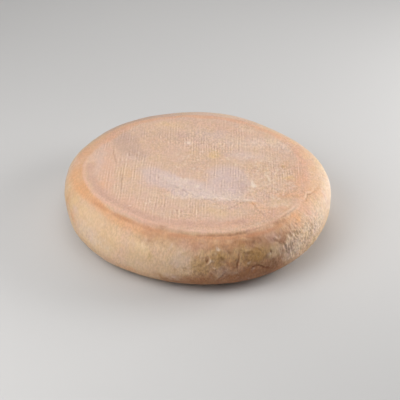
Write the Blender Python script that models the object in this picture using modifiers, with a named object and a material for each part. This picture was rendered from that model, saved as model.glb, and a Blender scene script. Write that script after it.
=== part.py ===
"""A whole wheel of soft pressed cheese with a washed rind, lying flat on its foot.

The wheel is one solid. A turned profile gives the cloth-pressed top face with its low lip, the
bulging side and the flat foot. Its points are then moved, so that the wheel is as uneven as one
that was pressed in a cloth and turned by hand. Metres, +Z up, origin under the middle of the foot.
"""

import math

import bmesh
import bpy
from mathutils import Matrix, Vector, noise

MM = 0.001

# Driving dimensions
RADIUS = 90.0 * MM
HEIGHT = 38.0 * MM
EQUATOR_HEIGHT = 19.2 * MM
FLAT_RADIUS = 64.0 * MM
LIP_RADIUS = 75.0 * MM

# The bulging side: 2 would be a plain ellipse, and more is squarer
UPPER_FULLNESS = 2.7
LOWER_FULLNESS = 2.66

# The lip round the top face, and the slight dish inside it
LIP_STEP = 0.6 * MM
LIP_CREST_INSET = 3.0 * MM
LIP_FOOT_OUTSET = 0.9 * MM
DISH_DEPTH = 0.6 * MM
DISH_RADIUS = 60.0 * MM
LIP_RELEASE_RADIUS = 62.0 * MM

# The lip stands at the front and left, and melts into the shoulder at the right and the rear
LIP_MIDDLE = math.radians(-105.0)
LIP_HALF_SPAN = math.radians(80.0)
LIP_FADE = math.radians(16.0)
LIP_LEAST = 0.3

# The lip's line wanders in and out within this reach of its own radius
LIP_WANDER_REACH = 9.0 * MM

# The hollow under the lip, which deepens into a crease at the front right
HOLLOW_OUTSET = 1.3 * MM
HOLLOW_WIDTH = 1.1 * MM
HOLLOW_DEPTH = 0.3 * MM
CREASE_DEPTH = 0.9 * MM
CREASE_AZIMUTH = math.radians(-58.0)
CREASE_HALF_SPAN = math.radians(17.0)

# The pinch at the right, where the lip's line runs out over the shoulder
FOLD_START = math.radians(-27.0)
FOLD_END = math.radians(-5.0)
FOLD_FADE = math.radians(5.0)
FOLD_START_RADIUS = 74.4 * MM
FOLD_END_RADIUS = 80.6 * MM
FOLD_WIDTH = 1.3 * MM
FOLD_DEPTH = 0.8 * MM
FOLD_RIDGE_OUTSET = 2.4 * MM
FOLD_RIDGE_HEIGHT = 0.4 * MM

# The low terrace that a pleat of the cloth left along the front of the top face
TERRACE_POINT = Vector((0.004, -0.036))
TERRACE_HEADING = math.radians(-14.0)
TERRACE_RISE = 0.35 * MM
TERRACE_WIDTH = 4.0 * MM

# Waves of the outline: how many round the wheel, how far out, and the azimuth of a crest
OUTLINE_WAVES = (
    (2, 0.76 * MM, math.radians(61.0)),
    (3, 0.20 * MM, math.radians(-26.0)),
    (4, 0.36 * MM, math.radians(3.5)),
    (5, 0.45 * MM, math.radians(12.0)),
)

# Waves of the lip's line, in the same way
LIP_WAVES = (
    (2, 0.40 * MM, math.radians(-40.0)),
    (6, 0.70 * MM, math.radians(-102.0)),
)

# Marks on the front right of the side: width, depth below the rind (less than nothing is a ridge)
# and the points that each runs through, as an azimuth in degrees and a height in millimetres
SIDE_MARKS = (
    (1.5 * MM, 0.9 * MM, ((-71.1, 31.1), (-71.9, 28.7), (-72.4, 24.9), (-72.5, 21.0), (-71.9, 18.2))),
    (1.5 * MM, 0.8 * MM, ((-66.9, 17.2), (-66.1, 19.1), (-63.9, 20.9), (-60.7, 16.3), (-57.1, 12.8))),
    (1.6 * MM, 0.7 * MM, ((-84.3, 28.2), (-85.0, 25.4))),
    (1.6 * MM, -0.6 * MM, ((-81.5, 11.0), (-79.5, 15.0), (-77.7, 18.6), (-75.8, 20.9))),
)
MARK_REACH = 3.0

# Broad swells of the soft paste, which die away towards the flat foot
SWELL_SIZE = 26.0 * MM
TOP_SWELL = 0.35 * MM
SIDE_SWELL = 0.6 * MM
SWELL_START_HEIGHT = 8.0 * MM

# How finely the form is divided, and where its sectors crowd together for the marks
SECTORS = 144
TOP_RINGS = 9
LIP_STEPS = 4
UPPER_STEPS = 12
LOWER_STEPS = 12
FOOT_RINGS = 3
CROWDING = 0.42
CROWDED_AZIMUTH = math.radians(-68.0)
CURVE_SAMPLES = 400
MERGE_DISTANCE = 0.01 * MM

RIND_COLOUR = (0.68, 0.47, 0.33, 1.0)
RIND_ROUGHNESS = 0.62


def smooth_step(start, end, value):
    """0 before start, 1 after end, and a smooth rise between them."""
    share = min(1.0, max(0.0, (value - start) / (end - start)))
    return share * share * (3.0 - 2.0 * share)


def bell(distance, width):
    """1 at no distance, falling away smoothly over about the width."""
    return math.exp(-((distance / width) ** 2))


def turn_between(azimuth, other):
    """The signed angle from the other azimuth, from half a turn below to half a turn above."""
    return (azimuth - other + math.pi) % math.tau - math.pi


def side_point(tilt):
    """(radius, height) on the smooth side: tilt is a quarter turn at the top and minus that below."""
    if tilt > 0.0:
        fullness, rise = UPPER_FULLNESS, HEIGHT - LIP_STEP - EQUATOR_HEIGHT
    else:
        fullness, rise = LOWER_FULLNESS, -EQUATOR_HEIGHT
    across = abs(math.cos(tilt)) ** (2.0 / fullness)
    along = abs(math.sin(tilt)) ** (2.0 / fullness)
    return FLAT_RADIUS + (RADIUS - FLAT_RADIUS) * across, EQUATOR_HEIGHT + rise * along


def smooth_shoulder(radius):
    """Height of the upper side at a radius, carried on as a plane inside FLAT_RADIUS."""
    share = max(0.0, min(1.0, (radius - FLAT_RADIUS) / (RADIUS - FLAT_RADIUS)))
    rise = HEIGHT - LIP_STEP - EQUATOR_HEIGHT
    return EQUATOR_HEIGHT + rise * (1.0 - share**UPPER_FULLNESS) ** (1.0 / UPPER_FULLNESS)


def evenly_spaced(points, count):
    """The curve through the points, cut into count stretches of one length, without its first point."""
    lengths = [0.0]
    for first, second in zip(points, points[1:]):
        lengths.append(lengths[-1] + math.dist(first, second))
    spaced = []
    place = 1
    for step in range(1, count + 1):
        goal = lengths[-1] * step / count
        while lengths[place] < goal and place < len(points) - 1:
            place += 1
        share = min(1.0, (goal - lengths[place - 1]) / (lengths[place] - lengths[place - 1]))
        before, after = points[place - 1], points[place]
        spaced.append(tuple(low + (high - low) * share for low, high in zip(before, after)))
    return spaced


def side_curve(first_tilt, last_tilt):
    """The smooth side between two tilts, as many points."""
    step = (last_tilt - first_tilt) / CURVE_SAMPLES
    return [side_point(first_tilt + step * sample) for sample in range(CURVE_SAMPLES + 1)]


def profile_points():
    """Half the wheel's section, from the middle of the top face out and down to the foot's middle."""
    crest = LIP_RADIUS - LIP_CREST_INSET
    lip_foot = LIP_RADIUS + LIP_FOOT_OUTSET
    points = []
    for ring in range(TOP_RINGS + 1):
        radius = crest * ring / TOP_RINGS
        dish = DISH_DEPTH * (1.0 - smooth_step(DISH_RADIUS, crest, radius))
        points.append((radius, HEIGHT - dish))
    foot_height = smooth_shoulder(lip_foot)
    for step in range(1, LIP_STEPS + 1):
        angle = math.pi / 2 * step / LIP_STEPS
        radius = crest + (lip_foot - crest) * math.sin(angle)
        points.append((radius, foot_height + (HEIGHT - foot_height) * math.cos(angle)))
    reach = (lip_foot - FLAT_RADIUS) / (RADIUS - FLAT_RADIUS)
    first_tilt = math.acos(reach ** (UPPER_FULLNESS / 2.0))
    points += evenly_spaced(side_curve(first_tilt, 0.0), UPPER_STEPS)
    points += evenly_spaced(side_curve(0.0, -math.pi / 2), LOWER_STEPS)
    for ring in range(1, FOOT_RINGS + 1):
        points.append((FLAT_RADIUS * (1.0 - ring / FOOT_RINGS), 0.0))
    return points


def turned_wheel(material):
    """The profile turned about the upright axis by a Screw modifier, as a plain closed mesh."""
    guide = bmesh.new()
    corners = [guide.verts.new((radius, 0.0, height)) for radius, height in profile_points()]
    for first, second in zip(corners, corners[1:]):
        guide.edges.new((first, second))
    outline = bpy.data.meshes.new("wheel_profile")
    guide.to_mesh(outline)
    guide.free()
    turned = bpy.data.objects.new("wheel_profile", outline)
    bpy.context.scene.collection.objects.link(turned)
    screw = turned.modifiers.new("turn", "SCREW")
    screw.steps = SECTORS
    screw.render_steps = SECTORS
    screw.use_merge_vertices = True
    screw.merge_threshold = MERGE_DISTANCE
    graph = bpy.context.evaluated_depsgraph_get()
    mesh = bpy.data.meshes.new_from_object(turned.evaluated_get(graph))
    mesh.name = "cheese_wheel"
    mesh.materials.append(material)
    bpy.data.objects.remove(turned)
    return mesh


def wave_sum(waves, azimuth):
    """How far a set of waves reaches out at an azimuth."""
    return sum(size * math.cos(count * (azimuth - crest)) for count, size, crest in waves)


def lip_share(azimuth):
    """How much of the lip stands at an azimuth: 1 at the front and left, LIP_LEAST at the rear."""
    away = abs(turn_between(azimuth, LIP_MIDDLE))
    return 1.0 - (1.0 - LIP_LEAST) * smooth_step(LIP_HALF_SPAN - LIP_FADE, LIP_HALF_SPAN + LIP_FADE, away)


def rim_change(azimuth, radius, height):
    """What the fading lip, the hollow under it and the fold at the right add to the height."""
    if height < EQUATOR_HEIGHT:
        return 0.0
    share = lip_share(azimuth)
    window = smooth_step(LIP_RELEASE_RADIUS, LIP_RADIUS - LIP_CREST_INSET, radius)
    change = (smooth_shoulder(radius) - height) * (1.0 - share) * window
    hollow = HOLLOW_DEPTH + CREASE_DEPTH * bell(turn_between(azimuth, CREASE_AZIMUTH), CREASE_HALF_SPAN)
    change -= share * hollow * bell(radius - LIP_RADIUS - HOLLOW_OUTSET, HOLLOW_WIDTH)
    if FOLD_START - FOLD_FADE < azimuth < FOLD_END + FOLD_FADE:
        along = (azimuth - FOLD_START) / (FOLD_END - FOLD_START)
        ends = smooth_step(FOLD_START - FOLD_FADE, FOLD_START + FOLD_FADE, azimuth)
        ends *= 1.0 - smooth_step(FOLD_END - FOLD_FADE, FOLD_END + FOLD_FADE, azimuth)
        line = FOLD_START_RADIUS + (FOLD_END_RADIUS - FOLD_START_RADIUS) * along
        change -= ends * FOLD_DEPTH * bell(radius - line, FOLD_WIDTH)
        change += ends * FOLD_RIDGE_HEIGHT * bell(radius - line - FOLD_RIDGE_OUTSET, FOLD_WIDTH)
    return change


def terrace(point):
    """Height that the pleat's terrace adds to a point of the top face."""
    across = Vector((math.sin(TERRACE_HEADING), -math.cos(TERRACE_HEADING)))
    beyond = (point.xy - TERRACE_POINT).dot(across)
    rise = smooth_step(-TERRACE_WIDTH, TERRACE_WIDTH, beyond)
    return TERRACE_RISE * rise * (1.0 - smooth_step(DISH_RADIUS, LIP_RADIUS, point.xy.length))


def distance_to_path(place, path):
    """The distance from a place to the nearest point of a path, both in one flat chart."""
    nearest = math.inf
    for start, end in zip(path, path[1:]):
        along = end - start
        share = min(1.0, max(0.0, (place - start).dot(along) / along.length_squared))
        nearest = min(nearest, (place - start - along * share).length)
    return nearest


def mark_depth(azimuth, height):
    """How deep the cracks, the pit and the ridge at the front right lie below the rind."""
    depth = 0.0
    for width, mark, points in SIDE_MARKS:
        path = [Vector((RADIUS * math.radians(degrees), millimetres * MM)) for degrees, millimetres in points]
        away = distance_to_path(Vector((RADIUS * azimuth, height)), path)
        if away < MARK_REACH * width:
            depth += mark * bell(away, width)
    return depth


def settled(point, normal):
    """Where a point of the turned wheel lies on the real, uneven one."""
    radius = point.xy.length
    if point.z < EQUATOR_HEIGHT and radius <= FLAT_RADIUS + MERGE_DISTANCE:
        return point.copy()
    azimuth = math.atan2(point.y, point.x)
    moved = point.copy()
    moved.z += rim_change(azimuth, radius, point.z)
    if point.z > EQUATOR_HEIGHT:
        moved.z += terrace(point)
    sideways = normal.xy.length
    swell = noise.noise(point / SWELL_SIZE) * (TOP_SWELL + (SIDE_SWELL - TOP_SWELL) * sideways)
    swell *= smooth_step(0.0, SWELL_START_HEIGHT, point.z)
    moved += normal * (swell - mark_depth(azimuth, point.z) * sideways)
    reach_out = wave_sum(OUTLINE_WAVES, azimuth) * smooth_step(0.0, RADIUS, radius)
    if point.z > EQUATOR_HEIGHT:
        reach_out += wave_sum(LIP_WAVES, azimuth) * bell(radius - LIP_RADIUS, LIP_WANDER_REACH)
    share = 1.0 + reach_out / RADIUS
    moved.x *= share
    moved.y *= share
    return moved


def crowd_sectors(mesh):
    """Turns every point a little about the upright axis, so that the sectors lie closer at the marks."""
    for vertex in mesh.vertices:
        azimuth = math.atan2(vertex.co.y, vertex.co.x)
        turn = Matrix.Rotation(-CROWDING * math.sin(azimuth - CROWDED_AZIMUTH), 3, "Z")
        vertex.co = turn @ vertex.co
    mesh.update()


def make_uneven(mesh):
    """Moves every point from the turned form to the uneven one, and centres the wheel on its foot."""
    places = [settled(vertex.co, vertex.normal) for vertex in mesh.vertices]
    middle_x = (min(p.x for p in places) + max(p.x for p in places)) / 2.0
    middle_y = (min(p.y for p in places) + max(p.y for p in places)) / 2.0
    for vertex, place in zip(mesh.vertices, places):
        vertex.co = (place.x - middle_x, place.y - middle_y, max(0.0, place.z))
    mesh.update()


def rind_material():
    """The matt orange-cream rind."""
    material = bpy.data.materials.new("rind")
    material.use_nodes = True
    shader = material.node_tree.nodes["Principled BSDF"]
    shader.inputs["Base Color"].default_value = RIND_COLOUR
    shader.inputs["Roughness"].default_value = RIND_ROUGHNESS
    shader.inputs["Metallic"].default_value = 0.0
    return material


def clear_scene():
    """Removes whatever the file opened with."""
    for item in list(bpy.data.objects):
        bpy.data.objects.remove(item)


def main():
    """Builds the wheel in its own collection."""
    clear_scene()
    parts = bpy.data.collections.new("cheese")
    bpy.context.scene.collection.children.link(parts)
    mesh = turned_wheel(rind_material())
    crowd_sectors(mesh)
    make_uneven(mesh)
    mesh.shade_smooth()
    parts.objects.link(bpy.data.objects.new("cheese_wheel", mesh))


main()
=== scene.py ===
"""The looks of a whole wheel of soft washed-rind cheese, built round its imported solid.

The wheel is one closed mesh on rings that follow its turned section. The form is that of the
solid, worked out from the same sizes. The print of the cloth, the pleats, the cracks and the
puckers of the rind are then raised or sunk along its normals, and the rind's colours are laid
on by a procedural material. Metres, +Z up.
"""

import logging
import math
import random
from dataclasses import dataclass, field, replace
from enum import Enum

import bpy
import numpy as np
from mathutils import Matrix, Vector, noise


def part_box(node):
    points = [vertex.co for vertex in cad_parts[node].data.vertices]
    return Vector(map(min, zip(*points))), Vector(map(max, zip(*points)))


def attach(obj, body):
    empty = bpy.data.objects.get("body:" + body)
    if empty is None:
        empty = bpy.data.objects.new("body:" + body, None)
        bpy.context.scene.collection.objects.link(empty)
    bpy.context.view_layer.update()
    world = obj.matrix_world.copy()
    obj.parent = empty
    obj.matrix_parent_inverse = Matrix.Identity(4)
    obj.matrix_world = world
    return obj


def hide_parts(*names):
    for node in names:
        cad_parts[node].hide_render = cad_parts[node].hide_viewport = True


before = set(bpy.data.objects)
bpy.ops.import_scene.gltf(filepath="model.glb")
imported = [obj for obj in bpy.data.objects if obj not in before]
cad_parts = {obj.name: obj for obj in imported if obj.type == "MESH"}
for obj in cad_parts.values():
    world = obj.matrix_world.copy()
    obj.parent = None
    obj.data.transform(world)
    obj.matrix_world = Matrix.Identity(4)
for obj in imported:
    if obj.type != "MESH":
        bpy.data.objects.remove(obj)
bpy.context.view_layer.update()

MM = 0.001
NODE = "cheese_wheel"
PIECE = "cheese_rind"
NOISE_SEAT = (7.31, 3.17, 5.77)
ALL_ROUND = (-180.0, 180.0)
TINY = 1e-9
LOG = logging.getLogger("cheese")
Pair = tuple[float, float]
Triple = tuple[float, float, float]
Shade = tuple[float, float, float, float]
Screen = tuple[int, int, int]
Faces = list[tuple[int, ...]]
Waves = tuple[tuple[int, float, float], ...]
Socket = bpy.types.NodeSocket


def smooth_step(start: float, end: float, value: np.ndarray) -> np.ndarray:
    """Rises smoothly from 0 at start to 1 at end.

    Args:
        start: the value where the rise begins.
        end: the value where it is complete.
        value: what is looked up.

    Returns:
        The share, from 0 to 1.
    """
    share = np.clip((value - start) / (end - start), 0.0, 1.0)
    return share * share * (3.0 - 2.0 * share)


def bell(distance: np.ndarray, width: float) -> np.ndarray:
    """1 at no distance, falling away smoothly over about the width."""
    return np.exp(-((distance / width) ** 2))


def turn_between(azimuth: np.ndarray, other: float) -> np.ndarray:
    """The signed angle from the other azimuth, from half a turn below to half a turn above."""
    return (azimuth - other + math.pi) % math.tau - math.pi


def noise_field(places: np.ndarray, size: float | Triple, seed: int) -> np.ndarray:
    """Smooth noise over a set of places.

    Args:
        places: one row of three coordinates for each point.
        size: how far apart the noise's hills lie, the same all ways or for each axis.
        seed: which noise, so that no two fields look alike.

    Returns:
        One value for each point, from about -1 to 1.
    """
    seat = seed * np.array(NOISE_SEAT)
    scaled = (places / np.array(size) + seat).tolist()
    return np.fromiter((noise.noise(place) for place in scaled), float, len(scaled))


@dataclass(frozen=True)
class NoiseLayer:
    """Smooth noise: how far apart its hills lie, their height, which noise it is, and its middle."""

    size: float | Triple
    height: float
    seed: int
    middle: float = 0.0

    def over(self, places: np.ndarray) -> np.ndarray:
        """Its value at each place."""
        return self.middle + self.height * noise_field(places, self.size, self.seed)


def drift_over(places: np.ndarray, layers: tuple[NoiseLayer, NoiseLayer]) -> np.ndarray:
    """How far each place is pushed along both ways of a chart, by one layer of noise for each way."""
    return np.stack([layer.over(places) for layer in layers], 1)


def linear(red: int, green: int, blue: int) -> Shade:
    """Turns a colour as a screen shows it, 0 to 255, into the shader's linear values.

    Args:
        red: the red channel.
        green: the green channel.
        blue: the blue channel.

    Returns:
        Red, green, blue and a full alpha.
    """
    channels = []
    for channel in (red, green, blue):
        share = channel / 255.0
        channels.append(share / 12.92 if share <= 0.04045 else ((share + 0.055) / 1.055) ** 2.4)
    return (*channels, 1.0)


class Tone(Enum):
    """A colour that the rind takes in patches, some partly painted shade and painted light. The value names
    its weight on the mesh.
    """

    ORANGE = "tone_orange"
    # brown rind, also painted shade low on the front and under the lip
    BROWN = "tone_brown_and_shade"
    OLIVE = "tone_olive"
    YELLOW = "tone_yellow"
    LILAC = "tone_lilac"
    GREY = "tone_grey"
    # white bloom, also a painted rim light along the back of the side
    BLOOM = "tone_bloom_and_rim_light"
    PINK = "tone_pink"
    # the darkest brown: painted shade low on the front and under the lip, and specks of dirt
    DIRT_AND_SHADE = "tone_dirt_and_shade"


class Chart(Enum):
    """How a mark's points are read."""

    TOP = "x and y in millimetres, seen from above"
    SIDE = "azimuth in degrees and height in millimetres"


@dataclass
class Surface:
    """The points of the wheel before its rind is worked, with what each mark needs to know of them."""

    places: np.ndarray
    normals: np.ndarray
    radius: np.ndarray
    azimuth: np.ndarray
    is_foot: np.ndarray
    side_radius: float
    equator_height: float
    top_rise: float = 8.0 * MM
    side_edge: Pair = (66.0 * MM, 74.0 * MM)

    def chart(self, kind: Chart, start: Pair) -> np.ndarray:
        """Lays the points out flat round a mark.

        Args:
            kind: seen from above, or rolled out along the side.
            start: a point of the mark, as its chart reads it.

        Returns:
            Two coordinates for each point, in metres from the start.
        """
        if kind is Chart.TOP:
            return self.places[:, :2] - np.array(start) * MM
        across = self.side_radius * turn_between(self.azimuth, math.radians(start[0]))
        return np.stack([across, self.places[:, 2] - start[1] * MM], 1)

    def steps(self, kind: Chart) -> np.ndarray:
        """How long one step of each of a chart's coordinates is, in metres.

        Args:
            kind: the chart.

        Returns:
            The lengths of the two steps.
        """
        if kind is Chart.TOP:
            return np.array((MM, MM))
        return np.array((self.side_radius * math.radians(1.0), MM))

    def oval(self, kind: Chart, centre: Pair, reach: Pair) -> np.ndarray:
        """How far each point lies from the middle of an oval, 1 on its edge.

        Args:
            kind: the chart that the oval lies in.
            centre: its middle, as the chart reads it.
            reach: its half sizes in millimetres.

        Returns:
            The distance of each point, in half sizes.
        """
        flat = self.chart(kind, centre)
        return np.hypot(flat[:, 0] / (reach[0] * MM), flat[:, 1] / (reach[1] * MM))

    def cover(self, kind: Chart) -> np.ndarray:
        """1 on the points that a chart covers, and 0 on the others.

        Args:
            kind: the chart.

        Returns:
            The share for each point.
        """
        if kind is Chart.TOP:
            return smooth_step(self.equator_height, self.equator_height + self.top_rise, self.places[:, 2])
        return smooth_step(*self.side_edge, self.radius)


@dataclass(frozen=True)
class Mark:
    """A crack, pleat or ridge that runs along a path.

    Depth is below the rind, so less than nothing is a ridge. Shoulder is the height of the soft
    roll that stands on the left of the path, seen along it. Ragged is how far the path strays,
    and stain how dark the mark is.
    """

    chart: Chart
    width: float
    depth: float
    path: tuple[Pair, ...]
    shoulder: float = 0.0
    ragged: float = 0.0
    stain: float = 0.6


@dataclass(frozen=True)
class Patch:
    """A patch of colour, with its centre as its chart reads it and its half sizes in millimetres.

    Edge is the share of the half sizes over which it fades out, 1 for a patch that is soft all over.
    """

    tone: Tone
    chart: Chart
    centre: Pair
    reach: Pair
    strength: float = 1.0
    turn: float = 0.0
    edge: float = 1.0


@dataclass
class WheelForm:
    """The wheel's form: the sizes and the rules of its solid on finer rings, with a softer lip."""

    radius: float = 90.0 * MM
    height: float = 38.0 * MM
    equator_height: float = 19.2 * MM
    flat_radius: float = 64.0 * MM
    lip_radius: float = 75.0 * MM
    upper_fullness: float = 2.7
    lower_fullness: float = 2.66
    lip_step: float = 0.6 * MM
    lip_crest_inset: float = 2.5 * MM
    lip_foot_outset: float = 1.4 * MM
    lip_lean: float = 1.1
    dish_depth: float = 0.6 * MM
    dish_radius: float = 60.0 * MM
    lip_release_radius: float = 62.0 * MM
    lip_middle: float = math.radians(-105.0)
    lip_half_span: float = math.radians(80.0)
    lip_fade: float = math.radians(16.0)
    lip_least: float = 0.3
    lip_wander_reach: float = 9.0 * MM
    hollow_outset: float = 1.3 * MM
    hollow_width: float = 1.1 * MM
    hollow_depth: float = 0.03 * MM
    crease_depth: float = 0.12 * MM
    crease_azimuth: float = math.radians(-58.0)
    crease_half_span: float = math.radians(17.0)
    fold_start: float = math.radians(-27.0)
    fold_end: float = math.radians(-5.0)
    fold_fade: float = math.radians(5.0)
    fold_start_radius: float = 74.4 * MM
    fold_end_radius: float = 80.6 * MM
    fold_width: float = 1.3 * MM
    fold_depth: float = 0.45 * MM
    fold_ridge_outset: float = 2.4 * MM
    fold_ridge_height: float = 0.3 * MM
    terrace_point: Pair = (4.0 * MM, -36.0 * MM)
    terrace_heading: float = math.radians(-14.0)
    terrace_rise: float = 0.35 * MM
    terrace_width: float = 4.0 * MM
    outline_waves: Waves = (
        (2, 0.76 * MM, math.radians(61.0)),
        (3, 0.20 * MM, math.radians(-26.0)),
        (4, 0.36 * MM, math.radians(3.5)),
        (5, 0.45 * MM, math.radians(12.0)),
    )
    lip_waves: Waves = (
        (2, 0.40 * MM, math.radians(-40.0)),
        (6, 0.70 * MM, math.radians(-102.0)),
    )
    lip_shifts: tuple[Pair, ...] = (
        (-180.0, 4.8), (-170.0, 4.8), (-160.0, 4.0), (-150.0, 3.2), (-136.0, 0.1), (-124.0, -1.7),
        (-112.0, -1.8), (-100.0, -0.5), (-88.0, 0.6), (-76.0, 2.4), (-64.0, 3.6), (-52.0, 3.2),
        (-40.0, 2.2), (-30.0, 1.2), (-18.0, 0.4), (0.0, 0.0), (150.0, 0.0), (165.0, 2.2), (180.0, 4.8),
    )
    swell: NoiseLayer = NoiseLayer(26.0 * MM, 1.0, 0)
    top_swell: float = 0.35 * MM
    side_swell: float = 0.6 * MM
    swell_start_height: float = 8.0 * MM
    sectors: int = 704
    widest_sector: float = 0.43 * MM
    foot_coarseness: float = 3.0
    point_radius: float = 0.01 * MM
    top_spacing: float = 0.70 * MM
    lip_steps: int = 8
    upper_steps: int = 32
    lower_steps: int = 30
    foot_spacing: float = 2.4 * MM
    fewest_sectors: int = 11
    crowding: float = 0.25
    crowded_azimuth: float = math.radians(-68.0)
    curve_samples: int = 400

    def side_point(self, tilt: float) -> Pair:
        """The smooth side at a tilt.

        Args:
            tilt: a quarter turn at the top, none at the widest part and minus a quarter below.

        Returns:
            Radius and height.
        """
        if tilt > 0.0:
            fullness, rise = self.upper_fullness, self.height - self.lip_step - self.equator_height
        else:
            fullness, rise = self.lower_fullness, -self.equator_height
        across = abs(math.cos(tilt)) ** (2.0 / fullness)
        along = abs(math.sin(tilt)) ** (2.0 / fullness)
        return (
            self.flat_radius + (self.radius - self.flat_radius) * across,
            self.equator_height + rise * along,
        )

    def smooth_shoulder(self, radius: np.ndarray) -> np.ndarray:
        """The upper side's height at a radius, carried on as a plane inside the flat radius.

        Args:
            radius: the radius of each point.

        Returns:
            The height at each radius.
        """
        share = np.clip((radius - self.flat_radius) / (self.radius - self.flat_radius), 0.0, 1.0)
        rise = self.height - self.lip_step - self.equator_height
        fullness = self.upper_fullness
        return self.equator_height + rise * (1.0 - share**fullness) ** (1.0 / fullness)

    def side_stretch(self, first_tilt: float, last_tilt: float, count: int) -> list[Pair]:
        """Points at even steps along the side, without the first.

        Args:
            first_tilt: where the stretch begins.
            last_tilt: where it ends.
            count: how many steps.

        Returns:
            Radius and height of each point.
        """
        tilts = np.linspace(first_tilt, last_tilt, self.curve_samples)
        curve = np.array([self.side_point(tilt) for tilt in tilts])
        lengths = np.concatenate([[0.0], np.cumsum(np.linalg.norm(np.diff(curve, axis=0), axis=1))])
        goals = lengths[-1] * np.arange(1, count + 1) / count
        radii = np.interp(goals, lengths, curve[:, 0])
        heights = np.interp(goals, lengths, curve[:, 1])
        return list(zip(radii.tolist(), heights.tolist()))

    def section(self) -> tuple[np.ndarray, int]:
        """Half the wheel's section, from the middle of the top face to the middle of the foot.

        Returns:
            Radius and height of each ring, and the number of the first ring of the foot.
        """
        crest = self.lip_radius - self.lip_crest_inset
        lip_foot = self.lip_radius + self.lip_foot_outset
        points = []
        top_rings = round(crest / self.top_spacing)
        for ring in range(top_rings + 1):
            radius = crest * ring / top_rings
            dish = self.dish_depth * (1.0 - float(smooth_step(self.dish_radius, crest, radius)))
            points.append((radius, self.height - dish))
        foot_height = float(self.smooth_shoulder(np.float64(lip_foot)))
        for step in range(1, self.lip_steps + 1):
            share = step / self.lip_steps
            fall = float(smooth_step(0.0, 1.0, share**self.lip_lean))
            radius = crest + (lip_foot - crest) * share
            points.append((radius, self.height - (self.height - foot_height) * fall))
        reach = (lip_foot - self.flat_radius) / (self.radius - self.flat_radius)
        first_tilt = math.acos(reach ** (self.upper_fullness / 2.0))
        points += self.side_stretch(first_tilt, 0.0, self.upper_steps)
        points += self.side_stretch(0.0, -math.pi / 2, self.lower_steps)
        first_foot_ring = len(points)
        foot_rings = round(self.flat_radius / self.foot_spacing)
        for ring in range(1, foot_rings + 1):
            points.append((self.flat_radius * (1.0 - ring / foot_rings), 0.0))
        return np.array(points), first_foot_ring

    def ring_sectors(self, radius: float, is_foot: bool) -> int:
        """How many points a ring has: half as many again and again towards the middle.

        Args:
            radius: the ring's radius.
            is_foot: whether the ring is on the foot, which has larger faces.

        Returns:
            The number of points, 1 for the middle.
        """
        if radius < self.point_radius:
            return 1
        widest = self.widest_sector * (self.foot_coarseness if is_foot else 1.0)
        count = self.sectors
        while count > self.fewest_sectors and math.tau * radius / count < widest:
            count //= 2
        return count

    def grid(self) -> tuple[Surface, Faces]:
        """The turned wheel on its rings.

        Returns:
            The points of the turned form, and the faces as point numbers.
        """
        section, first_foot_ring = self.section()
        along = np.gradient(section, axis=0)
        along /= np.linalg.norm(along, axis=1)[:, None]
        counts = [
            self.ring_sectors(radius, ring >= first_foot_ring) for ring, (radius, _) in enumerate(section)
        ]
        places, normals, azimuths, is_foot, starts = [], [], [], [], []
        total = 0
        for ring, ((radius, height), count) in enumerate(zip(section, counts)):
            turns = np.arange(count) / count * math.tau
            turns = turns - self.crowding * np.sin(turns - self.crowded_azimuth)
            cosines, sines = np.cos(turns), np.sin(turns)
            out, up = -along[ring, 1], along[ring, 0]
            places.append(np.stack([radius * cosines, radius * sines, np.full(count, height)], 1))
            normals.append(np.stack([out * cosines, out * sines, np.full(count, up)], 1))
            azimuths.append(turn_between(turns, 0.0))
            is_foot.append(np.full(count, ring >= first_foot_ring - 1))
            starts.append(total)
            total += count
        faces: Faces = []
        for ring in range(len(counts) - 1):
            faces += self.stitches(starts[ring], counts[ring], starts[ring + 1], counts[ring + 1])
        points = np.concatenate(places)
        surface = Surface(
            places=points,
            normals=np.concatenate(normals),
            radius=np.hypot(points[:, 0], points[:, 1]),
            azimuth=np.concatenate(azimuths),
            is_foot=np.concatenate(is_foot),
            side_radius=self.radius,
            equator_height=self.equator_height,
        )
        return surface, faces

    @staticmethod
    def stitches(inner: int, few: int, outer: int, many: int) -> Faces:
        """The faces between two neighbouring rings.

        Args:
            inner: the number of the first ring's first point.
            few: how many points the first ring has.
            outer: the number of the second ring's first point.
            many: how many points the second ring has.

        Returns:
            Faces that look outwards when the second ring comes after the first along the section.
        """
        faces: Faces = []
        if few > many:
            turned = WheelForm.stitches(outer, many, inner, few)
            return [tuple(reversed(face)) for face in turned]
        for place in range(few):
            here, after = inner + place, inner + (place + 1) % few
            if few == many:
                faces.append((here, outer + place, outer + (place + 1) % many, after))
                continue
            if few == 1:
                faces += [(inner, outer + k, outer + (k + 1) % many) for k in range(many)]
                continue
            first, middle, last = (outer + (2 * place + step) % many for step in range(3))
            faces += [(here, first, middle), (here, middle, after), (after, middle, last)]
        return faces

    def lip_share(self, azimuth: np.ndarray) -> np.ndarray:
        """How much of the lip stands: 1 at the front and left, and the least at the rear.

        Args:
            azimuth: the azimuth of each point.

        Returns:
            The share for each point.
        """
        away = np.abs(turn_between(azimuth, self.lip_middle))
        fade = smooth_step(self.lip_half_span - self.lip_fade, self.lip_half_span + self.lip_fade, away)
        return 1.0 - (1.0 - self.lip_least) * fade

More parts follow.
